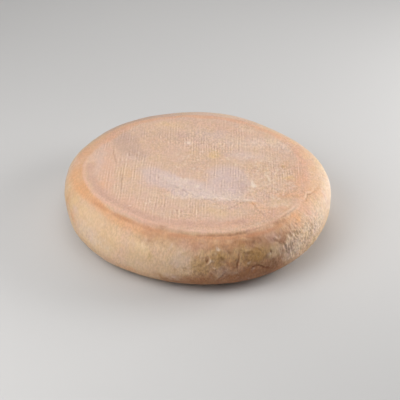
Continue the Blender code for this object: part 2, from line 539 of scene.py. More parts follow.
    def rim_change(self, points: Surface) -> np.ndarray:
        """What the fading lip, the hollow under it and the fold at the right add to the height.

        Args:
            points: the settled wheel.

        Returns:
            What is added to the height of each point.
        """
        radius, azimuth, height = points.radius, points.azimuth, points.places[:, 2]
        share = self.lip_share(azimuth)
        window = smooth_step(self.lip_release_radius, self.lip_radius - self.lip_crest_inset, radius)
        change = (self.smooth_shoulder(radius) - height) * (1.0 - share) * window
        crease = bell(turn_between(azimuth, self.crease_azimuth), self.crease_half_span)
        hollow = self.hollow_depth + self.crease_depth * crease
        change -= share * hollow * bell(radius - self.lip_radius - self.hollow_outset, self.hollow_width)
        ends = smooth_step(self.fold_start - self.fold_fade, self.fold_start + self.fold_fade, azimuth)
        ends *= 1.0 - smooth_step(self.fold_end - self.fold_fade, self.fold_end + self.fold_fade, azimuth)
        along = (azimuth - self.fold_start) / (self.fold_end - self.fold_start)
        line = self.fold_start_radius + (self.fold_end_radius - self.fold_start_radius) * along
        change -= ends * self.fold_depth * bell(radius - line, self.fold_width)
        ridge = bell(radius - line - self.fold_ridge_outset, self.fold_width)
        change += ends * self.fold_ridge_height * ridge
        return np.where(height >= self.equator_height, change, 0.0)

    def terrace(self, points: Surface) -> np.ndarray:
        """The height that the pleat's terrace adds to the front of the top face.

        Args:
            points: the settled wheel.

        Returns:
            What is added to the height of each point.
        """
        heading = self.terrace_heading
        across = np.array((math.sin(heading), -math.cos(heading)))
        beyond = (points.places[:, :2] - np.array(self.terrace_point)) @ across
        rise = smooth_step(-self.terrace_width, self.terrace_width, beyond)
        inside = 1.0 - smooth_step(self.dish_radius, self.lip_radius, points.radius)
        upper = points.places[:, 2] > self.equator_height
        return np.where(upper, self.terrace_rise * rise * inside, 0.0)

    def settled(self, points: Surface) -> Surface:
        """The uneven wheel, before its rind is worked.

        Args:
            points: the turned wheel.

        Returns:
            The same points, moved as the solid's points are.
        """
        height = points.places[:, 2]
        moved = points.places.copy()
        moved[:, 2] += self.rim_change(points) + self.terrace(points)
        sideways = np.hypot(points.normals[:, 0], points.normals[:, 1])
        swell = self.swell.over(points.places)
        swell *= self.top_swell + (self.side_swell - self.top_swell) * sideways
        swell *= smooth_step(0.0, self.swell_start_height, height)
        moved += points.normals * swell[:, None]
        out = self.wave_sum(self.outline_waves, points.azimuth)
        out = out * smooth_step(0.0, self.radius, points.radius)
        wander = self.lip_wander(points.azimuth)
        wander = wander * bell(points.radius - self.lip_radius, self.lip_wander_reach)
        out += np.where(height > self.equator_height, wander, 0.0)
        moved[:, :2] *= (1.0 + out / self.radius)[:, None]
        moved[points.is_foot] = points.places[points.is_foot]
        return replace(points, places=moved, radius=np.hypot(moved[:, 0], moved[:, 1]))

    def lip_wander(self, azimuth: np.ndarray) -> np.ndarray:
        """How far the lip strays outwards from its circle.

        Args:
            azimuth: the azimuth of each point.

        Returns:
            The distance at each azimuth, in metres.
        """
        turns, shifts = np.array(self.lip_shifts).T
        strays = np.interp(np.degrees(azimuth), turns, shifts) * MM
        return self.wave_sum(self.lip_waves, azimuth) + strays

    @staticmethod
    def wave_sum(waves: Waves, azimuth: np.ndarray) -> np.ndarray:
        """How far a set of waves reaches out at each azimuth."""
        return sum(size * np.cos(count * (azimuth - crest)) for count, size, crest in waves)


@dataclass
class ClothPrint:
    """The print that the pressing cloth left in the top face and in the foot."""

    pitch: float = 2.75 * MM
    fine_pitch: float = 1.82 * MM
    row: float = 6.6 * MM
    row_share: Pair = (0.6, 0.4)
    depth: float = 0.095 * MM
    edge_radius: float = 75.0 * MM
    edge_fade: float = 5.0 * MM
    clearness: NoiseLayer = NoiseLayer(17.0 * MM, 0.45, 3, 0.42)
    clear_limits: Pair = (0.12, 1.0)
    strong_gain: float = 0.5
    strong_edge: Pair = (0.4, 1.2)
    strong_places: tuple[tuple[Pair, Pair], ...] = (
        ((5.0, 26.0), (22.0, 12.0)),
        ((-45.0, -12.0), (20.0, 34.0)),
        ((-8.0, -48.0), (34.0, 14.0)),
        ((18.0, -14.0), (18.0, 24.0)),
        ((34.0, 34.0), (26.0, 14.0)),
        ((-18.0, 40.0), (26.0, 12.0)),
        ((52.0, -2.0), (12.0, 26.0)),
    )
    bends: tuple[NoiseLayer, ...] = (
        NoiseLayer(6.0 * MM, 0.25 * MM, 5),
        NoiseLayer(34.0 * MM, 1.3 * MM, 6),
    )
    cross_bend: NoiseLayer = NoiseLayer(9.0 * MM, 0.9 * MM, 7)
    cross_share: float = 0.7
    upright: NoiseLayer = NoiseLayer((3.4 * MM, 9.0 * MM, 8.0 * MM), 1.0, 8, 0.65)
    upright_limits: Pair = (0.0, 1.3)
    fine: NoiseLayer = NoiseLayer((2.4 * MM, 8.0 * MM, 8.0 * MM), 1.0, 10, 0.6)
    fine_limits: Pair = (0.1, 1.3)
    fine_share: Pair = (1.1, -0.6)
    level: NoiseLayer = NoiseLayer((5.0 * MM, 2.6 * MM, 8.0 * MM), 1.1, 9, 0.2)
    level_limits: Pair = (0.0, 1.2)
    level_share: float = 0.75
    wide: NoiseLayer = NoiseLayer(21.0 * MM, 1.3, 12, 0.5)
    wide_limits: Pair = (0.15, 1.0)

    def strength(self, points: Surface) -> np.ndarray:
        """How clearly the print shows at each point, from 0 to 1.

        Args:
            points: the settled wheel.

        Returns:
            One value for each point.
        """
        strength = self.clearness.over(points.places)
        for centre, reach in self.strong_places:
            away = points.oval(Chart.TOP, centre, reach)
            strength += self.strong_gain * (1.0 - smooth_step(*self.strong_edge, away))
        flat = 1.0 - smooth_step(self.edge_radius - self.edge_fade, self.edge_radius, points.radius)
        return np.clip(strength, *self.clear_limits) * flat

    def threads(self, points: Surface) -> dict[str, np.ndarray]:
        """Where each point lies in the weave.

        Args:
            points: the settled wheel.

        Returns:
            How many wide ribs across and level ribs along it lies, and how deep each kind of rib is.
        """
        places = points.places
        bend = sum(layer.over(places) for layer in self.bends)
        cross_bend = self.cross_bend.over(places)
        upright = np.clip(self.upright.over(places), *self.upright_limits)
        even, swing = self.row_share
        rows = even + swing * np.cos(math.tau * (places[:, 1] + cross_bend) / self.row)
        fine = np.clip(self.fine.over(places), *self.fine_limits)
        level = np.clip(self.level.over(places), *self.level_limits)
        wide = np.clip(self.wide.over(places), *self.wide_limits)
        strength = self.strength(points)
        return {
            "rib_across": (places[:, 0] + bend) / self.pitch,
            "rib_along": (places[:, 1] + self.cross_share * cross_bend) / self.fine_pitch,
            "rib_upright": strength * upright * rows * wide,
            "rib_fine": strength * fine * (self.fine_share[0] + self.fine_share[1] * wide),
            "rib_level": self.level_share * strength * level,
        }

    def relief(self, threads: dict[str, np.ndarray]) -> np.ndarray:
        """The height of the print, crests above nothing and grooves below.

        Args:
            threads: where each point lies in the weave.

        Returns:
            The height of each point in metres.
        """
        upright = np.cos(math.tau * threads["rib_across"]) * threads["rib_upright"]
        level = np.cos(math.tau * threads["rib_along"]) * threads["rib_level"]
        return self.depth * (upright + level)


@dataclass
class LipBead:
    """The soft roll on the lip's edge, and the shallow trough that runs inside it."""

    # The roll's pale crest is partly pink rind and partly a painted highlight.
    inset: float = 2.0 * MM
    width: float = 1.4 * MM
    height: float = 0.17 * MM
    trough_inset: Pair = (6.2 * MM, 11.0 * MM)
    trough_turns: Pair = (math.radians(-125.0), math.radians(-72.0))
    trough_fade: Pair = (math.radians(-66.0), math.radians(-54.0))
    trough_width: float = 4.0 * MM
    trough_depth: float = 0.16 * MM
    # The line at the lip's foot is painted shade under the lip, with some stain.
    line_outset: float = 2.4 * MM
    line_width: float = 1.9 * MM
    line_start: Pair = (math.radians(-165.0), math.radians(-132.0))
    line_end: Pair = (math.radians(-52.0), math.radians(-36.0))
    patchiness: NoiseLayer = NoiseLayer(8.0 * MM, 0.5, 61, 0.8)

    @staticmethod
    def outside(points: Surface, form: WheelForm) -> tuple[np.ndarray, np.ndarray]:
        """How far each point lies outside the lip's edge, and how much of a lip stands there.

        Args:
            points: the settled wheel.
            form: the wheel's form.

        Returns:
            The distance in metres and the share, for each point.
        """
        line = form.lip_radius * (1.0 + form.wave_sum(form.outline_waves, points.azimuth) / form.radius)
        line = line + form.lip_wander(points.azimuth) * form.lip_radius / form.radius
        stands = smooth_step(form.lip_least, 1.0, form.lip_share(points.azimuth))
        upper = points.places[:, 2] > form.equator_height
        return points.radius - line, np.where(upper, stands, 0.0)

    def trough(self, points: Surface, outside: np.ndarray) -> np.ndarray:
        """How much of the trough inside the roll lies at each point: it runs out at the front right.

        Args:
            points: the settled wheel.
            outside: how far outside the lip's edge each point lies.

        Returns:
            The share for each point.
        """
        near, far = self.trough_inset
        inset = near + (far - near) * smooth_step(*self.trough_turns, points.azimuth)
        lasts = 1.0 - smooth_step(*self.trough_fade, points.azimuth)
        return bell(outside + inset, self.trough_width) * lasts

    def relief(self, points: Surface, form: WheelForm) -> np.ndarray:
        """The height that the roll and the trough add, where the lip stands.

        Args:
            points: the settled wheel.
            form: the wheel's form.

        Returns:
            The height of each point in metres.
        """
        outside, stands = self.outside(points, form)
        relief = self.height * bell(outside + self.inset, self.width)
        relief -= self.trough_depth * self.trough(points, outside)
        return relief * stands

    def colouring(self, points: Surface, form: WheelForm) -> dict[str, np.ndarray]:
        """How the lip is coloured.

        Args:
            points: the settled wheel.
            form: the wheel's form.

        Returns:
            How pale the roll's crest (partly a painted highlight), how dark the line at its foot (painted
            shade with some stain) and how dull the trough is.
        """
        outside, stands = self.outside(points, form)
        shows = stands * np.clip(self.patchiness.over(points.places), 0.0, 1.0)
        front = smooth_step(*self.line_start, points.azimuth)
        front = front * (1.0 - smooth_step(*self.line_end, points.azimuth))
        return {
            # pale crest: pink rind and partly a painted highlight
            "lip_crest_pink_and_highlight": shows * bell(outside + self.inset, self.width),
            # foot line: painted shade under the lip, with some stain
            "lip_stain_and_shade_line": shows * front * bell(outside - self.line_outset, self.line_width),
            "lip_trough": shows * self.trough(points, outside),
        }


@dataclass
class RindSkin:
    """The skin's own unevenness: lumps, pebbles, creases, puckers and pits."""

    lumps: NoiseLayer = NoiseLayer(9.0 * MM, 0.11 * MM, 31)
    crumple: NoiseLayer = NoiseLayer(3.6 * MM, 0.04 * MM, 36)
    pebbles: NoiseLayer = NoiseLayer(2.2 * MM, 0.04 * MM, 32)
    pebbled_centre: Pair = (46.0, -6.0)
    pebbled_reach: Pair = (20.0, 24.0)
    pebbled_gain: float = 2.0
    web_layers: tuple[tuple[NoiseLayer, float, float], ...] = (
        (NoiseLayer(8.0 * MM, 1.0, 37), 0.08, 1.0),
        (NoiseLayer(4.4 * MM, 1.0, 38), 0.128, 0.7),
    )
    web_breaks: NoiseLayer = NoiseLayer(10.0 * MM, 1.0, 39)
    web_rise: float = 0.35
    web_depth: float = 0.1 * MM
    stretch_edge: Pair = (0.45, 1.15)
    leather_centre: Pair = (-76.0, 20.0)
    leather_reach: Pair = (38.0, 18.0)
    leather_height: float = 0.42 * MM
    leather_layers: tuple[NoiseLayer, ...] = (NoiseLayer(4.6 * MM, 0.5, 34), NoiseLayer(2.2 * MM, 0.7, 35))
    pucker_centre: Pair = (-38.0, 22.0)
    pucker_reach: Pair = (36.0, 17.0)
    pucker_pitch: float = 1.8 * MM
    pucker_height: float = 0.33 * MM
    pucker_heading: float = math.radians(32.0)
    pucker_fan: float = 60.0 * MM
    pucker_bends: tuple[NoiseLayer, ...] = (
        NoiseLayer(9.0 * MM, 2.4 * MM, 21),
        NoiseLayer(3.2 * MM, 0.9 * MM, 22),
    )
    pucker_breaks: NoiseLayer = NoiseLayer(3.0 * MM, 1.5, 23, 0.5)
    pucker_most: float = 1.5
    crackle: NoiseLayer = NoiseLayer(2.7 * MM, 3.0, 40)
    crackle_height: float = 0.35 * MM
    coarseness: NoiseLayer = NoiseLayer(16.0 * MM, 0.5, 18, 0.32)
    coarse_places: tuple[tuple[Pair, Pair, float], ...] = (
        ((48.0, -8.0), (18.0, 26.0), 0.6),
        ((6.0, 40.0), (34.0, 16.0), 0.5),
        ((0.0, -34.0), (30.0, 8.0), 0.3),
        ((-66.0, 0.0), (14.0, 36.0), -0.4),
        ((-42.0, -14.0), (20.0, 26.0), -0.2),
        ((18.0, -14.0), (14.0, 18.0), -0.15),
        ((36.0, -48.0), (20.0, 11.0), 0.35),
        ((-5.0, -50.0), (32.0, 12.0), 0.2),
    )
    side_coarseness: float = 0.04
    side_start: Pair = (76.0 * MM, 86.0 * MM)
    pit_count: int = 46
    pit_seed: int = 11
    pit_heights: Pair = (8.0, 33.0)
    pit_size: Pair = (0.6, 1.3)
    pit_depth: Pair = (0.12, 0.35)
    pit_squeeze: float = 1.4
    pit_reach: float = 4.0

    def nearness(self, points: Surface, centre: Pair, reach: Pair) -> np.ndarray:
        """1 in the middle of a stretch of the side, falling to 0 at its edge.

        Args:
            points: the settled wheel.
            centre: azimuth in degrees and height in millimetres.
            reach: half sizes in millimetres.

        Returns:
            The share for each point.
        """
        return 1.0 - smooth_step(*self.stretch_edge, points.oval(Chart.SIDE, centre, reach))

    def leather(self, points: Surface) -> np.ndarray:
        """How leathery the side is, from 0 to 1: most in front."""
        return self.nearness(points, self.leather_centre, self.leather_reach)

    def pucker(self, points: Surface) -> np.ndarray:
        """How puckered the side is, from 0 to 1: most at the front right."""
        return self.nearness(points, self.pucker_centre, self.pucker_reach)

    def roughness(self, points: Surface) -> np.ndarray:
        """How coarse the finest grain is, from 0 to 1: coarse at the front right and on parts of the top.

        Args:
            points: the settled wheel.

        Returns:
            One value for each point.
        """
        coarse = self.coarseness.over(points.places)
        for centre, reach, gain in self.coarse_places:
            coarse += gain * bell(points.oval(Chart.TOP, centre, reach), 1.0)
        coarse += self.side_coarseness * smooth_step(*self.side_start, points.radius)
        return np.clip(np.maximum(coarse, np.maximum(self.leather(points), self.pucker(points))), 0.0, 1.0)

    def web(self, places: np.ndarray) -> np.ndarray:
        """A loose web of fine creases, broken off here and there, from 0 to 1.

        Args:
            places: a row of coordinates for each point.

        Returns:
            One value for each point.
        """
        creases = sum(share * bell(layer.over(places), width) for layer, width, share in self.web_layers)
        return creases * smooth_step(0.0, self.web_rise, self.web_breaks.over(places))

    def puckers(self, points: Surface) -> np.ndarray:
        """Fine wrinkles that fan round the front right of the side.

        Args:
            points: the settled wheel.

        Returns:
            The height of each point in metres.
        """
        flat = points.chart(Chart.SIDE, self.pucker_centre)
        bend = sum(layer.over(points.places) for layer in self.pucker_bends)
        heading = self.pucker_heading + flat[:, 0] / self.pucker_fan
        across = flat[:, 0] * np.cos(heading) + flat[:, 1] * np.sin(heading) + bend
        wave = np.cos(math.tau * across / self.pucker_pitch)
        broken = np.clip(self.pucker_breaks.over(points.places), 0.0, self.pucker_most)
        return self.pucker_height * wave * broken * self.pucker(points)

    def pits(self, points: Surface, inner_radius: float) -> np.ndarray:
        """Small scattered pits of the side, the same each time.

        Args:
            points: the settled wheel.
            inner_radius: the radius inside which the side has no pits.

        Returns:
            The height of each point in metres.
        """
        draw = random.Random(self.pit_seed)
        relief = np.zeros(len(points.places))
        for _ in range(self.pit_count):
            centre = (draw.uniform(*ALL_ROUND), draw.uniform(*self.pit_heights))
            size = draw.uniform(*self.pit_size) * MM
            depth = draw.uniform(*self.pit_depth) * MM
            flat = points.chart(Chart.SIDE, centre)
            near = (np.abs(flat) < self.pit_reach * size).all(axis=1) & (points.radius > inner_radius)
            away = np.hypot(flat[near, 0] * self.pit_squeeze, flat[near, 1])
            relief[near] -= depth * bell(away, size)
        return relief

    def relief(self, points: Surface, form: WheelForm) -> np.ndarray:
        """The height of the skin's unevenness.

        Args:
            points: the settled wheel.
            form: the wheel's form.

        Returns:
            The height of each point in metres.
        """
        places = points.places
        relief = self.lumps.over(places) + self.crumple.over(places) - self.web_depth * self.web(places)
        pebbled = bell(points.oval(Chart.TOP, self.pebbled_centre, self.pebbled_reach), 1.0)
        relief += (1.0 + self.pebbled_gain * pebbled) * self.pebbles.over(places)
        rough = sum(layer.over(places) for layer in self.leather_layers)
        relief += self.leather_height * self.leather(points) * rough
        relief += self.crackle_height * self.pucker(points) * (1.0 - np.abs(self.crackle.over(places)))
        return relief + self.puckers(points) + self.pits(points, form.flat_radius)


@dataclass(frozen=True)
class CrumbField:
    """A stretch of the top face with crumbs: its middle and half sizes in millimetres, and how many."""

    centre: Pair
    reach: Pair
    count: int


@dataclass
class Crumbs:
    """The small pale crumbs and blisters that stand on the top face."""

    fields: tuple[CrumbField, ...] = (
        CrumbField((47.0, -8.0), (17.0, 26.0), 170),
        CrumbField((35.8, -16.0), (1.6, 19.0), 26),
        CrumbField((20.0, -35.5), (17.0, 2.2), 20),
        CrumbField((30.0, 14.0), (18.0, 8.0), 26),
        CrumbField((-4.0, 10.0), (16.0, 18.0), 34),
        CrumbField((0.0, 0.0), (68.0, 68.0), 70),
    )
    size: Pair = (0.45 * MM, 0.85 * MM)
    height: Pair = (0.06 * MM, 0.26 * MM)
    slimness: Pair = (1.4, 3.2)
    # how pale the crumbs are made, partly a painted highlight
    pale: float = 0.75
    spread: float = 3.0
    level_normal: float = 0.7
    seed: int = 23

    def relief(self, points: Surface) -> tuple[np.ndarray, np.ndarray]:
        """What the crumbs add.

        Args:
            points: the settled wheel.

        Returns:
            The height of each point in metres, and how much of a crumb is there, from 0 to 1.
        """
        draw = random.Random(self.seed)
        top = np.flatnonzero((points.normals[:, 2] > self.level_normal) & ~points.is_foot)
        flat = points.places[top, :2]
        height = np.zeros(len(points.places))
        cover = np.zeros(len(points.places))
        for crumbs in self.fields:
            for _ in range(crumbs.count):
                turn, out = draw.uniform(0.0, math.tau), math.sqrt(draw.uniform(0.0, 1.0))
                way = np.array((math.cos(turn), math.sin(turn)))
                gap = flat - (np.array(crumbs.centre) + np.array(crumbs.reach) * out * way) * MM
                size, rise = draw.uniform(*self.size), draw.uniform(*self.height)
                slim, heading = draw.uniform(*self.slimness), draw.uniform(0.0, math.pi)
                near = np.flatnonzero((np.abs(gap) < self.spread * slim * size).all(axis=1))
                along = gap[near, 0] * math.cos(heading) + gap[near, 1] * math.sin(heading)
                across = gap[near, 1] * math.cos(heading) - gap[near, 0] * math.sin(heading)
                share = bell(np.hypot(along / slim, across), size)
                spot = top[near]
                height[spot] = np.maximum(height[spot], rise * share)
                cover[spot] = np.maximum(cover[spot], self.pale * share * rise / self.height[1])
        return height, cover


@dataclass
class RindMarks:
    """The cracks, pleats and ridges that can be told one by one, and many small ones like them."""

    named: tuple[Mark, ...] = (
        Mark(
            Chart.SIDE, 0.55 * MM, 0.55 * MM,
            ((-71.1, 31.4), (-71.9, 28.7), (-72.4, 24.9), (-72.6, 21.0), (-71.9, 17.8)),
            shoulder=0.2 * MM, ragged=0.7 * MM, stain=0.85,
        ),
        Mark(
            Chart.SIDE, 0.6 * MM, 0.8 * MM,
            ((-64.9, 19.7), (-62.9, 19.2), (-60.7, 16.3), (-58.8, 14.8), (-56.5, 12.8)),
            ragged=0.5 * MM, stain=1.2,
        ),
        Mark(
            Chart.SIDE, 0.55 * MM, 0.7 * MM,
            ((-63.9, 20.9), (-64.9, 19.7), (-66.1, 19.1), (-66.9, 17.2)),
            ragged=0.4 * MM, stain=1.0,
        ),
        Mark(Chart.SIDE, 0.8 * MM, 0.7 * MM, ((-84.3, 27.9), (-84.9, 26.0), (-85.3, 25.2)), stain=0.9),
        Mark(
            Chart.SIDE, 0.55 * MM, -0.5 * MM,
            ((-83.9, 28.6), (-83.4, 26.9), (-84.0, 25.0), (-85.3, 24.2)),
        ),
        Mark(Chart.SIDE, 0.7 * MM, 0.7 * MM, ((-57.9, 27.6), (-57.6, 25.7)), ragged=0.3 * MM, stain=1.1),
        Mark(
            Chart.SIDE, 0.7 * MM, -0.3 * MM,
            ((-81.9, 10.2), (-79.5, 15.0), (-77.7, 18.6), (-75.6, 21.4)),
            ragged=0.4 * MM,
        ),
        Mark(Chart.SIDE, 0.5 * MM, 0.4 * MM, ((-81.0, 11.0), (-78.4, 15.2), (-76.4, 18.6)), stain=0.65),
        Mark(Chart.SIDE, 0.5 * MM, 0.35 * MM, ((-79.2, 10.4), (-76.6, 14.4), (-74.2, 17.2)), stain=0.6),
        Mark(
            Chart.TOP, 0.8 * MM, 0.26 * MM,
            ((-9.0, -75.4), (2.7, -76.4), (10.7, -76.3), (18.7, -75.2), (27.3, -72.4), (33.8, -69.3),
             (40.0, -65.6), (46.0, -61.2), (51.2, -56.4), (52.6, -57.0)),
            ragged=0.5 * MM, stain=0.42,
        ),
        Mark(
            Chart.TOP, 0.8 * MM, 0.1 * MM, ((22.0, -74.2), (33.8, -69.3), (40.0, -65.6), (49.0, -58.6)),
            ragged=0.5 * MM, stain=0.34,
        ),
        Mark(
            Chart.TOP, 0.6 * MM, 0.32 * MM,
            ((51.2, -56.4), (56.9, -50.2), (59.2, -47.2), (61.9, -43.4), (64.4, -38.5), (64.8, -35.6)),
            shoulder=0.26 * MM, ragged=0.5 * MM, stain=0.6,
        ),
        Mark(
            Chart.TOP, 0.5 * MM, 0.28 * MM,
            ((64.8, -35.6), (67.3, -32.8), (70.0, -31.9), (70.9, -26.7), (71.7, -23.0), (74.2, -20.5),
             (76.1, -17.9), (77.5, -13.8), (79.5, -10.7)),
            shoulder=0.26 * MM, ragged=0.9 * MM, stain=0.45,
        ),
        Mark(
            Chart.TOP, 1.2 * MM, -0.35 * MM,
            ((55.7, -53.3), (59.9, -45.8), (64.3, -39.4), (66.4, -34.2)), ragged=0.8 * MM,
        ),
        Mark(Chart.TOP, 0.8 * MM, -0.3 * MM, ((68.1, -46.3), (70.1, -44.3), (72.5, -43.4)), ragged=0.6 * MM),
        Mark(Chart.TOP, 1.3 * MM, -0.3 * MM, ((69.0, -28.0), (70.4, -25.6)), ragged=0.5 * MM),
        Mark(Chart.TOP, 0.7 * MM, -0.25 * MM, ((42.7, -68.3), (43.1, -71.4), (45.4, -72.3)), ragged=0.4 * MM),
        Mark(
            Chart.TOP, 0.6 * MM, 0.3 * MM,
            ((-60.2, 26.0), (-59.3, 18.4), (-57.9, 10.4), (-56.2, 3.6), (-54.6, -1.5)),
            shoulder=0.2 * MM, ragged=0.5 * MM, stain=0.36,
        ),
        Mark(
            Chart.TOP, 0.6 * MM, 0.22 * MM,
            ((-53.0, -3.0), (-51.9, -6.4), (-50.4, -18.0), (-49.6, -29.1), (-50.4, -34.2)),
            shoulder=0.18 * MM, ragged=0.6 * MM, stain=0.4,
        ),
        Mark(
            Chart.TOP, 0.6 * MM, 0.4 * MM,
            ((8.4, -55.7), (15.0, -50.1), (20.7, -46.3), (27.9, -38.1), (34.6, -36.6), (36.5, -39.7),
             (38.2, -45.6), (43.0, -53.0)),
            shoulder=0.22 * MM, ragged=0.8 * MM, stain=0.34,
        ),
        Mark(
            Chart.TOP, 0.7 * MM, 0.18 * MM,
            ((-36.0, -6.0), (-28.0, -12.0), (-20.0, -20.0), (-12.0, -25.0), (-4.0, -32.0), (4.0, -37.0),
             (18.0, -38.0), (30.0, -35.0)),
            shoulder=0.2 * MM, ragged=1.2 * MM, stain=0.3,
        ),
        Mark(
            Chart.TOP, 0.6 * MM, 0.14 * MM,
            ((4.0, 10.0), (14.0, 7.5), (25.0, 9.0), (36.0, 6.0)),
            shoulder=0.1 * MM, ragged=0.9 * MM, stain=0.15,
        ),
        Mark(Chart.TOP, 0.5 * MM, 0.2 * MM, ((-4.0, 56.0), (-6.0, 50.0), (-1.0, 45.0)), stain=0.25),
        Mark(Chart.TOP, 0.5 * MM, 0.2 * MM, ((53.0, 32.0), (56.0, 30.5), (60.0, 31.0)), stain=0.35),
        Mark(
            Chart.SIDE, 0.7 * MM, 0.3 * MM,
            ((-118.0, 33.4), (-112.0, 32.6), (-107.0, 33.6), (-104.0, 32.4)),
            ragged=0.5 * MM, stain=0.25,
        ),
    )
    side_width: float = 0.5 * MM
    side_step: Pair = (0.6, 1.6)
    side_heights: Pair = (7.0, 34.0)
    side_rise: float = 1.8
    side_wrinkles: int = 80
    front_wrinkles: int = 70
    front_span: Pair = (-98.0, -32.0)
    front_stain: float = 0.22
    wrinkle_depth: Pair = (0.08, 0.25)
    wrinkle_shoulder: Pair = (0.06, 0.2)
    small_stain: Pair = (0.03, 0.2)
    back_cracks: int = 7
    back_span: Pair = (10.0, 185.0)
    back_heights: Pair = (13.0, 30.0)
    back_stretches: tuple[int, int] = (2, 4)
    back_step: Pair = (0.6, 1.8)
    back_rise: Pair = (1.5, 3.5)
    back_width: float = 0.55 * MM
    back_depth: Pair = (0.4, 0.8)
    top_pleats: int = 250
    pleat_reach: float = 66.0
    pleat_slant: float = 0.6
    pleat_bend: float = 0.5
    pleat_step: Pair = (1.2, 3.4)
    pleat_width: float = 0.45 * MM
    pleat_depth: Pair = (0.06, 0.16)
    pleat_shoulder: Pair = (0.04, 0.18)
    small_stretches: tuple[int, int] = (1, 3)
    small_ragged: float = 0.5 * MM
    pleat_ragged: float = 0.6 * MM
    seed: int = 5
    drift: tuple[NoiseLayer, NoiseLayer] = (NoiseLayer(2.6 * MM, 1.0, 41), NoiseLayer(2.6 * MM, 1.0, 42))
    pale_shoulder: float = 0.8 * MM
    end_share: float = 0.35
    tapered: Pair = (0.06, 0.94)
    roll_outset: float = 2.4
    roll_width: float = 1.5
    roll_start: float = 0.3

    def back_crack(self, draw: random.Random) -> Mark:
        """A short crack somewhere at the back of the side.

        Args:
            draw: where the chances come from.

        Returns:
            The crack.
        """
        azimuth, height = draw.uniform(*self.back_span), draw.uniform(*self.back_heights)
        path = [(azimuth, height)]
        slope = draw.uniform(-1.0, 1.0)
        for _ in range(draw.randint(*self.back_stretches)):
            azimuth += draw.uniform(*self.back_step)
            height += slope * draw.uniform(*self.back_rise)
            path.append((azimuth, height))
        depth = draw.uniform(*self.back_depth) * MM
        return Mark(Chart.SIDE, self.back_width, depth, tuple(path), ragged=self.small_ragged)

    def wrinkle(self, draw: random.Random, span: Pair, darker: float) -> Mark:
        """A short wrinkle of the side.

        Args:
            draw: where the chances come from.
            span: the azimuths that it lies between, in degrees.
            darker: how much more stained it is than most.

        Returns:
            The wrinkle.
        """
        azimuth, height = draw.uniform(*span), draw.uniform(*self.side_heights)
        path = [(azimuth, height)]
        for _ in range(draw.randint(*self.small_stretches)):
            azimuth += draw.uniform(*self.side_step)
            height += draw.uniform(-self.side_rise, self.side_rise)
            path.append((azimuth, height))
        depth, shoulder = draw.uniform(*self.wrinkle_depth) * MM, draw.uniform(*self.wrinkle_shoulder) * MM
        stain = darker + draw.uniform(*self.small_stain)
        return Mark(Chart.SIDE, self.side_width, depth, tuple(path), shoulder, self.small_ragged, stain)

    def pleat(self, draw: random.Random) -> Mark:
        """A short pleat of the top face, that runs nearly along or across the cloth.

        Args:
            draw: where the chances come from.

        Returns:
            The pleat.
        """
        turn, out = draw.uniform(0.0, math.tau), self.pleat_reach * math.sqrt(draw.uniform(0.0, 1.0))
        x, y = out * math.cos(turn), out * math.sin(turn)
        heading = draw.choice((0.0, 0.5 * math.pi)) + draw.uniform(-self.pleat_slant, self.pleat_slant)
        path = [(x, y)]
        for _ in range(draw.randint(*self.small_stretches)):
            heading += draw.uniform(-self.pleat_bend, self.pleat_bend)
            step = draw.uniform(*self.pleat_step)
            x, y = x + step * math.cos(heading), y + step * math.sin(heading)
            path.append((x, y))
        depth, shoulder = draw.uniform(*self.pleat_depth) * MM, draw.uniform(*self.pleat_shoulder) * MM
        stain = draw.uniform(*self.small_stain)
        return Mark(Chart.TOP, self.pleat_width, depth, tuple(path), shoulder, self.pleat_ragged, stain)

    def scattered(self) -> list[Mark]:
        """Small cracks at the back, wrinkles all round the side and short pleats on top, always the same.

        Returns:
            The marks.
        """
        draw = random.Random(self.seed)
        marks = [self.back_crack(draw) for _ in range(self.back_cracks)]
        marks += [self.wrinkle(draw, ALL_ROUND, 0.0) for _ in range(self.side_wrinkles)]
        marks += [self.wrinkle(draw, self.front_span, self.front_stain) for _ in range(self.front_wrinkles)]
        return marks + [self.pleat(draw) for _ in range(self.top_pleats)]

    def relief(self, points: Surface) -> tuple[np.ndarray, np.ndarray, np.ndarray]:
        """What all the marks add.

        Args:
            points: the settled wheel.

        Returns:
            The height of each point in metres, then how stained it is and how pale its crests are (partly a
            painted highlight), from 0 to 1.
        """
        relief = np.zeros(len(points.places))
        stain = np.zeros(len(points.places))
        # crest: the pale of rolls and ridges, partly a painted highlight
        crest = np.zeros(len(points.places))
        drift = drift_over(points.places, self.drift)
        covers = {kind: points.cover(kind) for kind in Chart}
        for mark in (*self.named, *self.scattered()):
            flat = points.chart(mark.chart, mark.path[0]) + mark.ragged * drift
            path = (np.array(mark.path) - np.array(mark.path[0])) * points.steps(mark.chart)
            away, side, along = self.distance(flat, path)
            swell = np.sin(math.pi * np.clip(along, *self.tapered))
            cover = covers[mark.chart] * (self.end_share + (1.0 - self.end_share) * swell)
            groove = bell(away, mark.width) * cover
            relief -= mark.depth * groove
            if mark.shoulder:
                roll = bell(away - self.roll_outset * mark.width, self.roll_width * mark.width) * cover
                roll = roll * smooth_step(-self.roll_start, self.roll_start, side)
                relief += mark.shoulder * roll
                crest = np.maximum(crest, roll * min(1.0, mark.shoulder / self.pale_shoulder))
            if mark.depth > 0.0:
                stain = np.maximum(stain, groove * mark.stain)
            else:
                crest = np.maximum(crest, groove * min(1.0, -mark.depth / self.pale_shoulder))
        return relief, stain, crest

